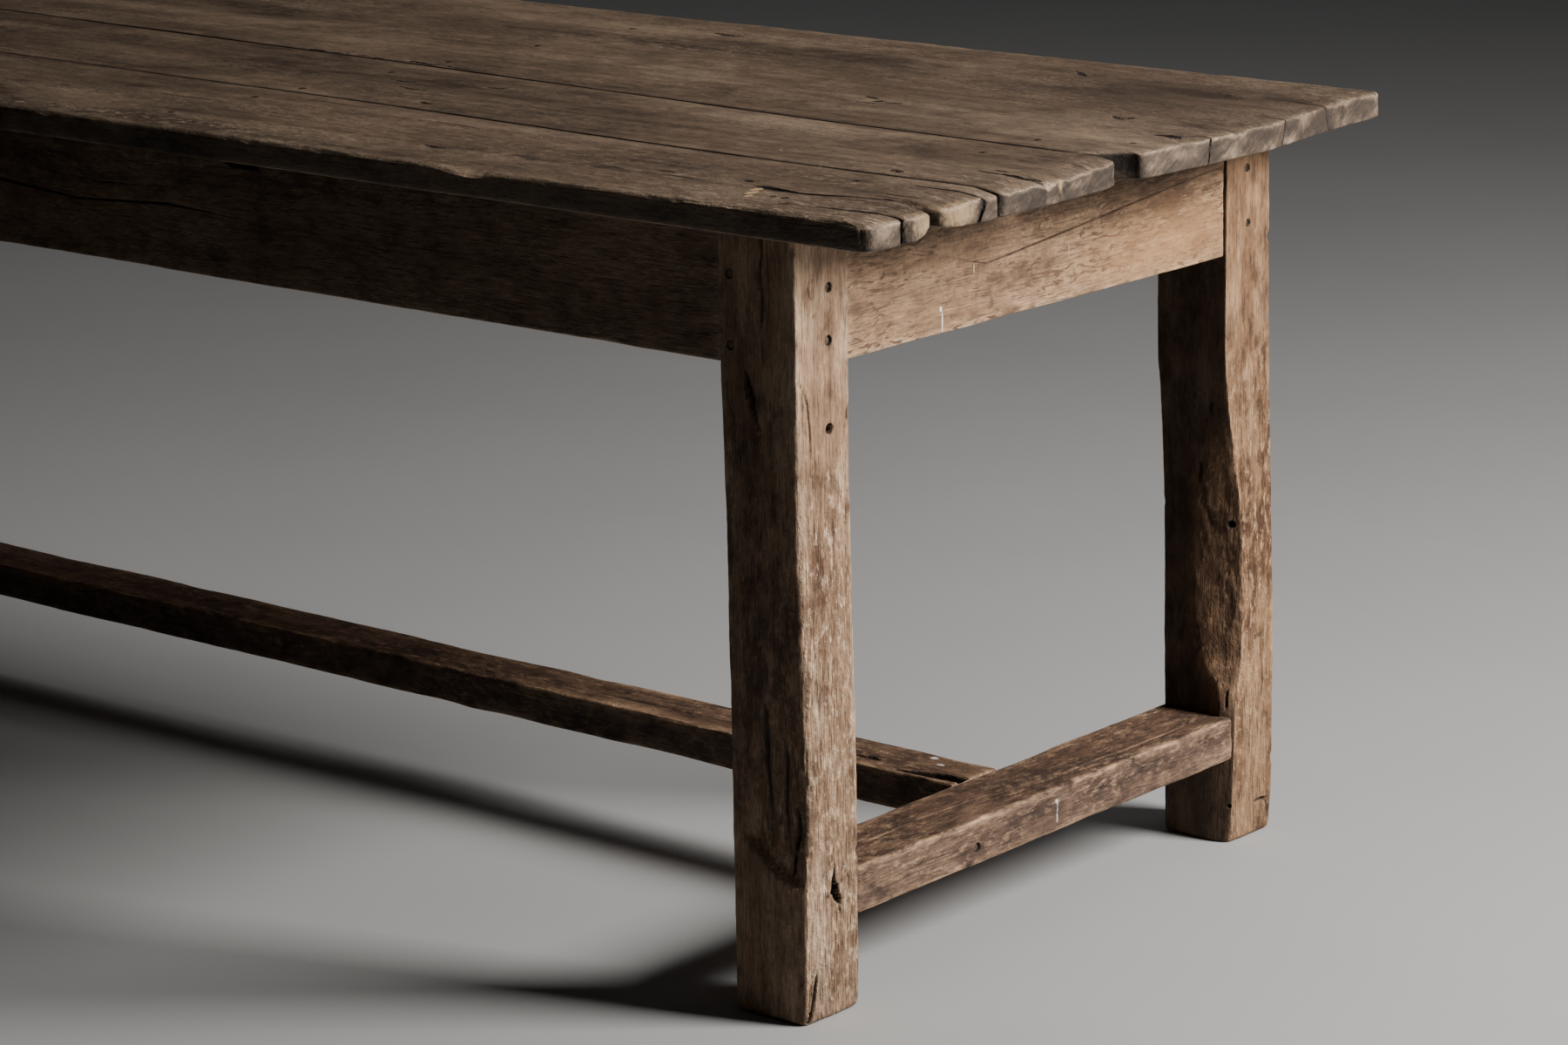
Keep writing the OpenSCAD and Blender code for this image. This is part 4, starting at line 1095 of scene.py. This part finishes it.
    # On the front face the weathering and its pale flakes are cut to 0.15, so the face stays evenly dark as
    # painted shade.
    weather = 0.1 + np.maximum(0.5 * rot, np.where(on_front, 0.15, 1.0) * weather)
    final = np.stack([outer_x - side_x * u, corner[1] + w, z], 1)
    grain = final[:, [2, 0, 1]] + seed * 1.7
    return shape(final, quads[:, ::-1] if side_x > 0 else quads, grain, worn, dirt_and_shade, weather)


print("frame width:", round(float(frame_width), 4))

# %% [markdown]
# ### The near legs
# Their outer corner has rotted away on the front face between knee and ankle height. The rot ends below at
# a slanting ledge and runs out upwards. On the right one's end face a flake has lifted near the corner, a
# knot has fallen out low down, and an old peg hole stands open.

# %% The near legs
ledge = curve((-88, 182), (-76, 173), (-67, 164), (-51, 153), (-36, 141), (-21, 133), (-11, 129), (0, 126),
              soft=3)
rot_reach = tall((120, 84), (170, 76), (220, 66), (300, 48), (380, 30), (440, 18), (740, 10))
corner_loss = tall((0, 1.5), (67, 2.9), (149, 4.7), (222, 6.3), (271, 7.4), (330, 6.3), (393, 2.8), (430, 1),
                   (460, 0))


rot_depth = 8.5 * mm


def near_rot(u, z):
    """1 where the front face has rotted: over the ledge, within its reach, running out upwards."""
    over_ledge = smooth((z - ledge(-u)) / (8 * mm))
    running_out = 1 - smooth((z - 0.20) / 0.22)
    in_reach = smooth((rot_reach(z) - u) / (16 * mm))
    return over_ledge * running_out * in_reach


def near_front(u, z):
    """The front face: hollow where it's rotten, with the measured loss at the corner itself."""
    at_corner = ramp(u, 22) ** 2
    return corner_loss(z) * at_corner + rot_depth * near_rot(u, z) * (1 - at_corner)


near_back = tall((0, 77), (100, 78), (212, 78), (377, 74.4), (538, 72.5), (606, 73.8), (740, 73.5))
near_inner = tall((0, 81), (134, 82), (298, 83), (460, 84), (606, 88))
near_arris = tall((140, 3), (190, 5), (300, 6), (520, 6), (570, 3), (740, 2.5))
# On the end face: the lifted flake and the pits beside it, the fallen knot with the ring and the splits round
# it, two splits at the foot, dents and thin checks, and the ring of a knot beside the upper peg. Then the two
# pegs' rims and the open hole.
near_end_marks = (
    [([(0, 600), (8.5, 591), (15, 577), (17.3, 556), (18.6, 534), (18, 520, 0.3)], 1.05, 2.6),
     ([(4, 590, 0.4), (7, 578, 1), (5, 566, 0.5), (9, 552, 1), (6, 540, 0.4)], 2.6, 1.1),
     ([(42, 130, 0.5), (44, 122, 1), (47, 114, 1), (53, 106, 0.6)], 5.0, 14),
     ([(33, 116, 0.3), (44, 121, 1), (57, 128, 0.3)], 2.6, 6),
     ([(44, 146, 0.2), (43, 136, 1), (44, 126, 1)], 1.8, 5),
     ([(50, 140, 0.3), (59, 136, 1), (66, 126, 1), (65, 112, 0.5)], 1.6, 2.4),
     ([(50, 104, 0.8), (52, 92, 0.5), (51, 84, 0.1)], 1.8, 4),
     ([(17, 46, 0.5), (15, 36, 1), (12, 22, 1), (7, 4, 1)], 2.6, 6),
     ([(10, 52, 0.2), (9, 34, 0.7), (5, 14, 0.6)], 2.2, 3),
     ([(71, 566, 0.4), (72, 556, 1), (73, 546, 0.4)], 4, 3),
     ([(62, 330, 0.1), (60, 250, 0.6), (62, 200, 0.1)], 1.4, 1.2),
     ([(20, 686, 0.6), (18, 678, 1), (20, 670, 1), (25, 668, 1), (27, 677, 1), (24, 686, 0.8),
       (20, 686, 0.6)], 1.5, 1.4),
     ([(26, 656, 0.6), (26, 652, 1), (27, 649, 0.4)], 1.8, 3),
     ([(63, 690, 0.3), (63, 680, 1), (63, 662, 0.8), (64, 655, 0.2)], 1.3, 1.4)],
    [(46, 676, 3.9, 4.0), (45, 628.5, 3.9, 4.0), (45, 549, 4.1, 26)], [12, 18])
# On the front face: two long cracks at the top, an old knot, checks, and the furrows of the rot.
near_front_marks = (
    [([(-38, 734, 1), (-40, 690, 0.9), (-37, 640, 0.7), (-39, 600, 0.2)], 1.6, 5),
     ([(-31, 734, 0.6), (-32, 670, 0.7), (-30, 610, 0.2)], 1.2, 3),
     ([(-60, 606, 0.2), (-57, 592, 1), (-52, 576, 1), (-48, 562, 0.5), (-40, 540, 0.1)], 4.0, 6),
     ([(-22, 548, 0.1), (-14, 500, 0.7), (-13, 448, 0.9), (-9, 408, 0.8), (-6, 380, 0.3)], 2.0, 1.6),
     ([(-62, 520, 0.1), (-58, 420, 0.5), (-52, 330, 0.2)], 1.6, 1.0),
     ([(-52, 330, 0.2), (-44, 290, 0.9), (-47, 240, 1), (-42, 190, 0.7), (-40, 165, 0.3)], 4.5, 3.0),
     ([(-30, 300, 0.3), (-24, 250, 0.9), (-26, 200, 1), (-22, 150, 0.6)], 4.0, 3.0),
     ([(-12, 210, 0.2), (-10, 185, 1), (-16, 160, 1), (-19, 140, 0.6)], 3.0, 7)],
    [(-75, 687, 3.9, 2.4), (-75, 623, 3.9, 2.4)], [])
no_marks = ([], [], [])
for name, side_x, end_marks, front_marks, seed, gap in (
        ("leg_front_right", 1, near_end_marks, near_front_marks, 5.0, 3.0),
        ("leg_front_left", -1, no_marks, no_marks, 7.0, 4.0)):
    near_leg = leg(name, side_x, near_inner, near_front, near_back, near_rot, near_arris, end_marks,
                   front_marks, seed, gap, soiled=0.2, grime_and_shade=0.0)
    mesh_piece(name, frame_oak, [near_leg])

# %% [markdown]
# ### The far legs
# They lean outwards a little, are drawn in at the waist, and keep a flat facet with the bark's old bumps
# where the balk had no corner. The facet is widest at knee height and ends just over the stretcher.

# %% The far legs
far_lean = tall((0, 6), (45, 0), (138, 0), (230, 1), (321, 5), (412, 8), (501, 11), (590, 14), (677, 16))
far_base = tall((0, 665), (90, 667), (190, 667), (330, 668), (430, 663), (500, 655))
facet_width = tall((90, 18), (120, 14), (145, 8), (167, 12), (187, 28), (240, 34), (285, 36), (330, 35),
                   (367, 30), (404, 20), (450, 8), (480, 3), soft=6)
facet_loss = tall((0, 6), (89, 8), (120, 9), (140, 9), (153, 13), (187, 20), (241, 21), (314, 17), (369, 13),
                  (406, 6), (443, 1.5), (490, 0))


def far_front(u, z):
    """The front face: its base, and the facet as a straight slope from the corner's loss to nothing."""
    return far_base(z) + facet_loss(z) * np.clip(1 - u / (1.25 * facet_width(z)), 0, 1) ** 1.35


def far_waney(u, z):
    """1 on the facet, fading out behind it."""
    behind = 1 - smooth((u - facet_width(z)) / (25 * mm))
    return smooth(facet_loss(z) / (8 * mm)) * behind * smooth((z - 0.13) / 0.03)


def far_back(z):
    """The outer y face, which leans out."""
    return frame_width - far_lean(z)


far_inner = tall((0, 78), (240, 81), (740, 83))
far_arris = tall((0, 3), (200, 2), (400, 2), (520, 2.5), (740, 2))
# On the end face: a dent by the foot, a hewn notch and thin checks. On the front face: two knots in the
# facet, two slits over the stretcher, thin checks and two holes.
far_end_marks = (
    [([(712, 34, 0.6), (722, 35, 0.8), (733, 33, 1), (735, 22, 0.8), (735, 12, 0.4)], 2.2, 4),
     ([(708, 205, 0.4), (714, 209, 1), (722, 209, 1), (730, 206, 0.4)], 2.4, 2.2),
     ([(700, 734, 0.6), (698, 700, 0.6), (702, 660, 0.1)], 1.2, 1.2),
     ([(692, 330, 0.3), (694, 300, 0.7), (691, 262, 0.3)], 3, 1.6)],
    [(690, 689, 3.3, 4.0), (692, 634, 3.3, 4.0)], [])
far_front_marks = (
    [([(-37, 396, 0.3), (-37, 384, 1), (-38, 372, 0.4)], 3.2, 7),
     ([(-22, 462, 0.4), (-21, 453, 1), (-23, 444, 0.4)], 2.6, 4),
     ([(-7.5, 158, 0.9), (-7.2, 143, 1)], 1.3, 7), ([(-15.5, 147, 0.9), (-15.3, 133, 1)], 1.2, 5),
     ([(-40, 366, 0.2), (-30, 340, 0.7), (-26, 320, 0.3)], 2.4, 2.5),
     ([(-58, 500, 0.2), (-50, 440, 0.6), (-46, 400, 0.2)], 2, 2),
     ([(-24, 60, 0.2), (-22, 36, 0.8), (-24, 18, 0.3)], 1.6, 3)],
    [(-8.5, 330, 3.2, 14), (-3.0, 39, 1.8, 8)], [])
# grime_and_shade of 0.14 darkens the far legs, and 2.2 times it adds painted shade to their front faces
# outside the facet.
for name, side_x, end_marks, front_marks, seed, gap in (
        ("leg_back_right", 1, far_end_marks, far_front_marks, 6.0, 2.6),
        ("leg_back_left", -1, no_marks, no_marks, 8.0, 4.0)):
    far_leg = leg(name, side_x, far_inner, far_front, far_back, far_waney, far_arris, end_marks,
                  front_marks, seed, gap, soiled=-0.2, grime_and_shade=0.14)
    mesh_piece(name, far_leg_oak, [far_leg])

# %% [markdown]
# ## Aprons, bearers and stretchers
# These are straight timbers. Each is a block between two corners that the frame gives, with its arrises
# worn, its faces slightly uneven and its own cracks, dents and tenons.

# %% A straight timber
scratch_mm = 1.0


def timber(low, high, along, radius, seed, gaps, uneven, fine=((), (), ()), cuts=(), wear_mm=5.0,
           weather=0.15, shade=0.0, bend=None, chipped=0.0):
    """A block of timber as a shape, from its low to its high corner in metres.

    along is the axis of the grain. radius gives the radius in mm of every arris. A cut is (axis, side,
    path, width, depth): a groove in the face that looks that way, along a path on its two other axes, in
    mm from the measuring corner. A cut less than scratch_mm deep is a pale scratch, and a deeper one is
    dirty. uneven is the height of the faces' waves in mm, and wear_mm how far the pale wear of the arrises
    reaches. shade is painted shade on the face that looks to the front, which stands in shadow. bend moves
    the heights of the lattice, so that one of its lines follows a long shake. chipped is how many mm more
    the outer top arris has lost, in chips.
    """
    low, high = np.array(low, float), np.array(high, float)
    axes = [planes(low[n], high[n], gaps[n], [corner[n] + f * mm for f in fine[n]]) for n in range(3)]
    i, j, k, quads = skin(*(len(a) for a in axes))
    raw = np.stack([axes[0][i], axes[1][j], axes[2][k]], 1)
    if bend:
        raw[:, 2] = bend(raw[:, 1], raw[:, 2])
    order = [along, (along + 1) % 3, (along + 2) % 3]
    fibre = raw[:, order]
    waver = noise_of(fibre, seed)
    share = (raw - low) / (high - low)
    reach = radius * (1 + 0.55 * waver((60, 20, 20), 0))
    reach += chipped * (share[:, 0] * share[:, 2]) ** 2 * (1 + 1.0 * waver((16, 30, 30), 9))
    points = rounded(raw, low, high, np.clip(reach, 0.5, 10.5) * mm)
    wave = uneven * mm * (waver((150, 30, 30), 2) + 0.35 * waver((45, 6, 6), 3))
    centre, half = (low + high) / 2, (high - low) / 2
    away = (raw - centre) / half
    for axis in order[1:]:
        points[:, axis] -= np.sign(away[:, axis]) * np.abs(away[:, axis]) ** 6 * (np.abs(wave) + 0.1 * mm)
    dirt_and_shade, scratch = np.zeros(len(raw)), np.zeros(len(raw))
    for axis, side, path, wide, deep in cuts:
        a, b = (raw[:, n] - corner[n] for n in range(3) if n != axis)
        on = np.abs(raw[:, axis] - (high if side > 0 else low)[axis]) < 1e-6
        d = groove(a, b, path, wide, deep) * on
        points[:, axis] -= side * d
        if deep < scratch_mm:
            scratch = scratch + d / mm
        else:
            dirt_and_shade = np.maximum(dirt_and_shade, np.clip(d / (1.6 * mm), 0, 1))
    edge = np.sort(np.minimum(raw - low, high - raw), axis=1)[:, 1]
    worn = decay(edge, wear_mm) * (0.7 + 0.6 * waver((28, 9, 9), 7)) + 1.6 * scratch
    worn += np.clip(0.4 * waver((170, 25, 25), 5), 0, 1) * 0.5
    if chipped:
        rim = np.maximum(high[0] - raw[:, 0], high[2] - raw[:, 2])
        worn += decay(rim, 3) * np.clip(0.6 + 1.8 * waver((24, 8, 8), 10), 0, 1.5)
    # Painted shade: the face that looks to the front is darkened by shade.
    dirt_and_shade = np.maximum(dirt_and_shade, shade * (raw[:, 1] <= low[1] + 1e-6))
    damp = weather + 0.3 * waver((90, 24, 24), 8)
    grain = points[:, order] + seed * 2.3
    return shape(points, quads, grain, worn, dirt_and_shade, damp)


def tenoned(name, along, ends_mm, tongue_mm, seeds, tongue_z=None, **looks):
    """A timber's body between its two shoulders, and the plain tongue that runs through it into the mortises.

    The shoulders lie ends_mm in from the two ends. The tongue is tongue_mm thick on x, y and z, and centred;
    tongue_z gives its low and high height in metres where it isn't. looks goes on to the body.
    """
    low, high = box(name)
    body_low, body_high, middle = low.copy(), high.copy(), (low + high) / 2
    body_low[along] += ends_mm[0] * mm
    body_high[along] -= ends_mm[1] * mm
    half = np.array(tongue_mm) / 2 * mm
    tongue_low, tongue_high = middle - half, middle + half
    tongue_low[along], tongue_high[along] = low[along], high[along]
    if tongue_z:
        tongue_low[2], tongue_high[2] = tongue_z
    return [timber(body_low, body_high, along, seed=seeds[0], **looks),
            timber(tongue_low, tongue_high, along, radius=0.8, seed=seeds[1], gaps=(40, 40, 40), uneven=0.05)]


# %% Aprons
apron_low_z = float(box("apron_front")[0][2])
apron_tongue = (apron_low_z + 10 * mm, leg_top - 25 * mm)
apron_cuts = [
    (1, -1, [(-1180, 668, 0.2), (-1050, 672, 1), (-930, 664, 0.8), (-800, 672, 0.9), (-690, 668, 0.2)],
     1.6, 2.2),
    (1, -1, [(-706, 722, 1), (-676, 721, 1)], 4.5, 8),
    (1, -1, [(-1000, 690, 0.2), (-900, 684, 0.9), (-780, 690, 0.3)], 1.4, 1.6),
    (1, -1, [(-520, 640, 0.2), (-380, 646, 0.8), (-240, 638, 0.2)], 1.6, 1.8)]
# The long aprons get painted shade of 0.62 on their front faces.
for name, cuts, fine_z, gap, seed in (("apron_front", apron_cuts, (660, 670, 684, 722), 7.0, 11.0),
                                      ("apron_back", (), (), 16.0, 12.0)):
    mesh_piece(name, frame_oak, tenoned(
        name, 0, (45, 45), (0, 12, 0), (seed, 13.0), apron_tongue, radius=2.0, gaps=(gap, 4, 3.2), cuts=cuts,
        uneven=0.8, shade=0.62, fine=((), (), fine_z)))

long_shake = [(50, 660), (96, 668), (148, 675), (181, 672), (215, 676), (250, 666), (275, 660), (310, 663),
              (351, 667), (392, 671), (423, 674), (455, 677), (493, 681), (525, 684), (560, 688), (700, 700)]
shake_strength = (0.1, 0.2, 0.4, 0.4, 0.4, 0.5, 0.8, 1, 1, 1, 1, 1, 1, 0.9, 0.8, 0.5)
shake = curve(*long_shake, soft=3)


def follow_shake(y, z):
    """Heights moved so that the level 670 mm lies on the shake, and the two edges stay where they are."""
    level = 670 * mm
    near = np.where(z < level, (z - apron_low_z) / (level - apron_low_z), (leg_top - z) / (leg_top - level))
    return z + (shake(y - corner[1]) - level) * np.clip(near, 0, 1)


end_shakes = [(0, 1, [(y, z, s) for (y, z), s in zip(long_shake, shake_strength)], 1.15, 1.5),
              (0, 1, [(96, 716, 0.6), (150, 722, 0.8), (230, 716, 0.2)], 1.8, 2.0),
              (0, 1, [(470, 640, 0.1), (560, 648, 0.6), (640, 652, 0.2)], 1.6, 1.0)]
for name, cuts, gap, seed in (("apron_right", end_shakes, 3.0, 15.0), ("apron_left", (), 8.0, 13.0)):
    mesh_piece(name, apron_oak, tenoned(
        name, 1, (50, 53), (12, 0, 0), (seed, 16.0), apron_tongue, radius=1.8, gaps=(4, gap, 3.0), cuts=cuts,
        uneven=0.7, fine=((), (), (664, 676)), bend=follow_shake))

# %% Cross bearers
for name in ("bearer_right", "bearer_left"):
    low, high = box(name)
    # The bearers' front faces get painted shade of 0.62.
    bearer = timber(low, high, 1, radius=2.0, seed=17.0 + low[0], gaps=(6, 6, 5), uneven=0.6, shade=0.62)
    mesh_piece(name, frame_oak, [bearer])

# %% Stretchers
stretcher_cuts = [
    (2, 1, [(-42, 130, 0.8), (-46, 229, 1), (-41, 321, 0.9), (-26, 423, 1), (-22, 529, 0.8), (-21, 636, 0.3)],
     1.5, 0.7),
    (0, 1, [(300, 120, 0.2), (420, 124, 0.8), (560, 121, 0.3)], 1.6, 1.6),
    (0, 1, [(100, 108, 0.3), (180, 112, 0.8), (240, 109, 0.2)], 1.6, 1.4),
    (0, 1, [(255, 105, 1), (255.5, 105, 1)], 5.0, 5)]
for name, cuts, fine, gap, seed in (("stretcher_right", stretcher_cuts, ((), (255,), (105,)), 3.0, 20.0),
                                    ("stretcher_left", (), ((), (), ()), 8.0, 18.0)):
    mesh_piece(name, stretcher_oak, tenoned(
        name, 1, (43, 43), (42, 0, 24), (seed, 21.0), radius=3.0, gaps=(3.5, gap, 3.0), fine=fine, cuts=cuts,
        uneven=1.0, wear_mm=3.0, weather=0.3, chipped=2.4))

centre_cuts = [(2, 1, [(-84, 343, 1), (-120, 340, 0.9), (-160, 333, 0.25)], 9, 16),
               (2, 1, [(-222, 347, 0.5), (-205, 348, 1), (-192, 347, 0.5)], 3.5, 8),
               (2, 1, [(-700, 350, 0.2), (-500, 356, 1), (-300, 352, 0.3)], 2.2, 3)]
split_fine = ((-160, -147, -134, -121, -108, -95, -82, -216, -203, -190), (332, 344), ())
# The centre stretcher's front face gets painted shade of 0.4.
mesh_piece("stretcher_centre", stretcher_oak, tenoned(
    "stretcher_centre", 0, (35, 35), (0, 36, 18), (23.0, 24.0), radius=4.0, gaps=(6, 3.5, 3.5),
    fine=split_fine, cuts=centre_cuts, uneven=1.0, weather=0.25, shade=0.4))

# %% [markdown]
# ## Pegs and nails
# A peg is cleft oak shaved round with a knife, so its end is a rough many-sided disc. A nail is forged,
# with an uneven flat head. Both are a profile, a list of (height, radius), turned round an axis while the
# radius wavers with the angle. A ring of points for each step of the profile, with tiny rings at the two
# ends, gives a closed skin. The pegs end at the worn faces of the legs, and the nails' heads lie on the
# worn boards.

# %% Turned shape
def turned(start, direction, profile, waver, seed, sides=20):
    """A rod as a shape: profile is (distance along the direction, radius) in mm, waver the share of change.

    The radius at an angle is the profile's times 1 + waver times the sum of two sines of the angle.
    """
    direction = np.array(direction, float)
    side = np.cross(direction, (0.0, 0.0, 1.0) if abs(direction[2]) < 0.5 else (1.0, 0.0, 0.0))
    other = np.cross(direction, side)
    heights, radii = np.array([(profile[0][0], 0.02), *profile, (profile[-1][0], 0.02)]).T * mm
    angle = np.arange(sides) * 2 * math.pi / sides
    wobble = 1 + waver * (np.sin(3 * angle + seed * 7) + 0.6 * np.sin(5 * angle + seed * 13)) / 1.6
    ring = np.cos(angle)[:, None] * side + np.sin(angle)[:, None] * other
    points = (np.array(start) + heights[:, None, None] * direction
              + radii[:, None, None] * wobble[None, :, None] * ring[None, :, :])
    rows, around = np.arange(len(heights) - 1)[:, None], np.arange(sides)[None, :]
    a, b = rows * sides + around, rows * sides + (around + 1) % sides
    quads = np.stack([a, b, b + sides, a + sides], -1).reshape(-1, 4)
    caps = [np.stack([np.full(sides // 2 - 1, base), base + n, base + n + 1, base + n + 2], 1)
            for base in (0, (len(heights) - 1) * sides) for n in [np.arange(1, sides - 2, 2)]]
    quads = np.concatenate([quads, caps[0][:, ::-1], caps[1]])
    points = points.reshape(-1, 3)
    axis = points @ direction
    grain = np.stack([axis, points @ side, points @ other], 1) + seed * 1.1
    rim = np.repeat(radii / radii.max(), sides)
    return shape(points, quads, grain, 0.4 * rim, 0.35 * rim ** 6, 0.1 + 0 * rim)


def peg(mouth, inward, length, seed):
    """A peg whose outer end lies at its mouth, a little domed, running inward."""
    profile = [(0.0, 2.6), (0.25, 3.9), (0.9, 4.4), (length * 0.7, 4.35), (length, 4.2)]
    return turned(mouth, inward, profile, 0.05, seed)


# The pegs stand a little out of the legs. Those at the right end are set back, as the legs' faces are worn.
proud_mm, sunk_end_mm, sunk_front_mm = 0.3, 2.2, 1.2
end_pegs, side_pegs = [], []
for side_x in (1, -1):
    at_right = side_x > 0
    face_x = side_x * (corner[0] + (-sunk_end_mm if at_right else proud_mm) * mm)
    front_y = corner[1] + (sunk_front_mm if at_right else -proud_mm) * mm
    for number, (y, z) in enumerate([(45, 676), (45, 628.5), (690, 689), (690, 634)]):
        end_pegs.append(peg((face_x, place(0, y)[1], z * mm), (-side_x, 0, 0), length=48,
                            seed=number + 3 + side_x))
    for number, (x, z, front) in enumerate([(-75, 687, 1), (-75, 623, 1), (-70, 687, 0), (-70, 623, 0)]):
        face_y = front_y if front else corner[1] + (far_back(z * mm) + proud_mm * mm)
        side_pegs.append(peg((side_x * (corner[0] + x * mm), face_y, z * mm), (0, 1 if front else -1, 0),
                             length=34, seed=number + 9 + side_x))
mesh_piece("end_apron_pegs", peg_oak, end_pegs)
mesh_piece("side_apron_pegs", peg_oak, side_pegs)
mesh_piece("stretcher_peg", peg_oak, [peg(place(-3.2, 256, 105), (-1, 0, 0), length=28, seed=4.4)])

# %% Nails
nail_profile = [(0.0, 3.4), (0.35, 4.3), (1.3, 4.4), (2.0, 3.6), (2.4, 2.2), (30.0, 2.0), (48.0, 1.1)]
nail_low, nail_high = box("top_nails")
head_radius_mm, bearer_x = 4.5, 0.402
nail_rows = (nail_low[0] + head_radius_mm * mm, -bearer_x, bearer_x, nail_high[0] - head_radius_mm * mm)
surface_mm, head_proud_mm, head_below_mm = 8.0, 0.35, 0.05


def nail_places(x):
    """The y of the seven nails of a row at x: shares of the width of the board that each goes through."""
    inner = [beside(joint, 0)(np.array([x]))[0] for joint in (joint_front, joint_back)]
    joints = [top_low[1], *inner, top_high[1]]
    shares = ((0.3, 0.8), (0.1, 0.74), (0.075, 0.4, 0.76))
    return [joints[n] + s * (joints[n + 1] - joints[n]) for n in range(3) for s in shares[n]]


top_points = np.concatenate([one["points"] for one in boards.values()])
top_points = top_points[top_points[:, 2] > table_h - surface_mm * mm]


def head_height(x, y):
    """The height of a nail's head: a little over the nearest point of the boards, but under table_h."""
    nearest = np.argmin(np.hypot(top_points[:, 0] - x, top_points[:, 1] - y))
    return min(top_points[nearest, 2] + head_proud_mm * mm, table_h - head_below_mm * mm)


nails = [turned((x, y, head_height(x, y)), (0, 0, -1), nail_profile, 0.10, 1 + r * 7 + n, sides=14)
         for r, x in enumerate(nail_rows) for n, y in enumerate(nail_places(x))]
mesh_piece("top_nails", nail_iron, nails)

# %% [markdown]
# ## The floor
# A plain pale floor carries the table and catches its soft shadow. It's a stage, not a part of the table.

# %% Floor
half = 30.0
floor_mesh = bpy.data.meshes.new("floor")
floor_corners = [(-half, -half, 0), (half, -half, 0), (half, half, 0), (-half, half, 0)]
floor_mesh.from_pydata(floor_corners, [], [(0, 1, 2, 3)])
floor = bpy.data.objects.new("floor", floor_mesh)
bpy.context.collection.objects.link(floor)
floor_material, t, shader = new_material("pale_floor")
tone = noise_node(t, put(t, "TexCoord").outputs["Object"], (1.1, 1.1, 1.1), 4, 0.6)
t.links.new(fade(t, tone, (0.33, 0.335, 0.34, 1), (0.40, 0.405, 0.41, 1)), shader.inputs["Base Color"])
shader.inputs["Roughness"].default_value = 0.75
floor_mesh.materials.append(floor_material)
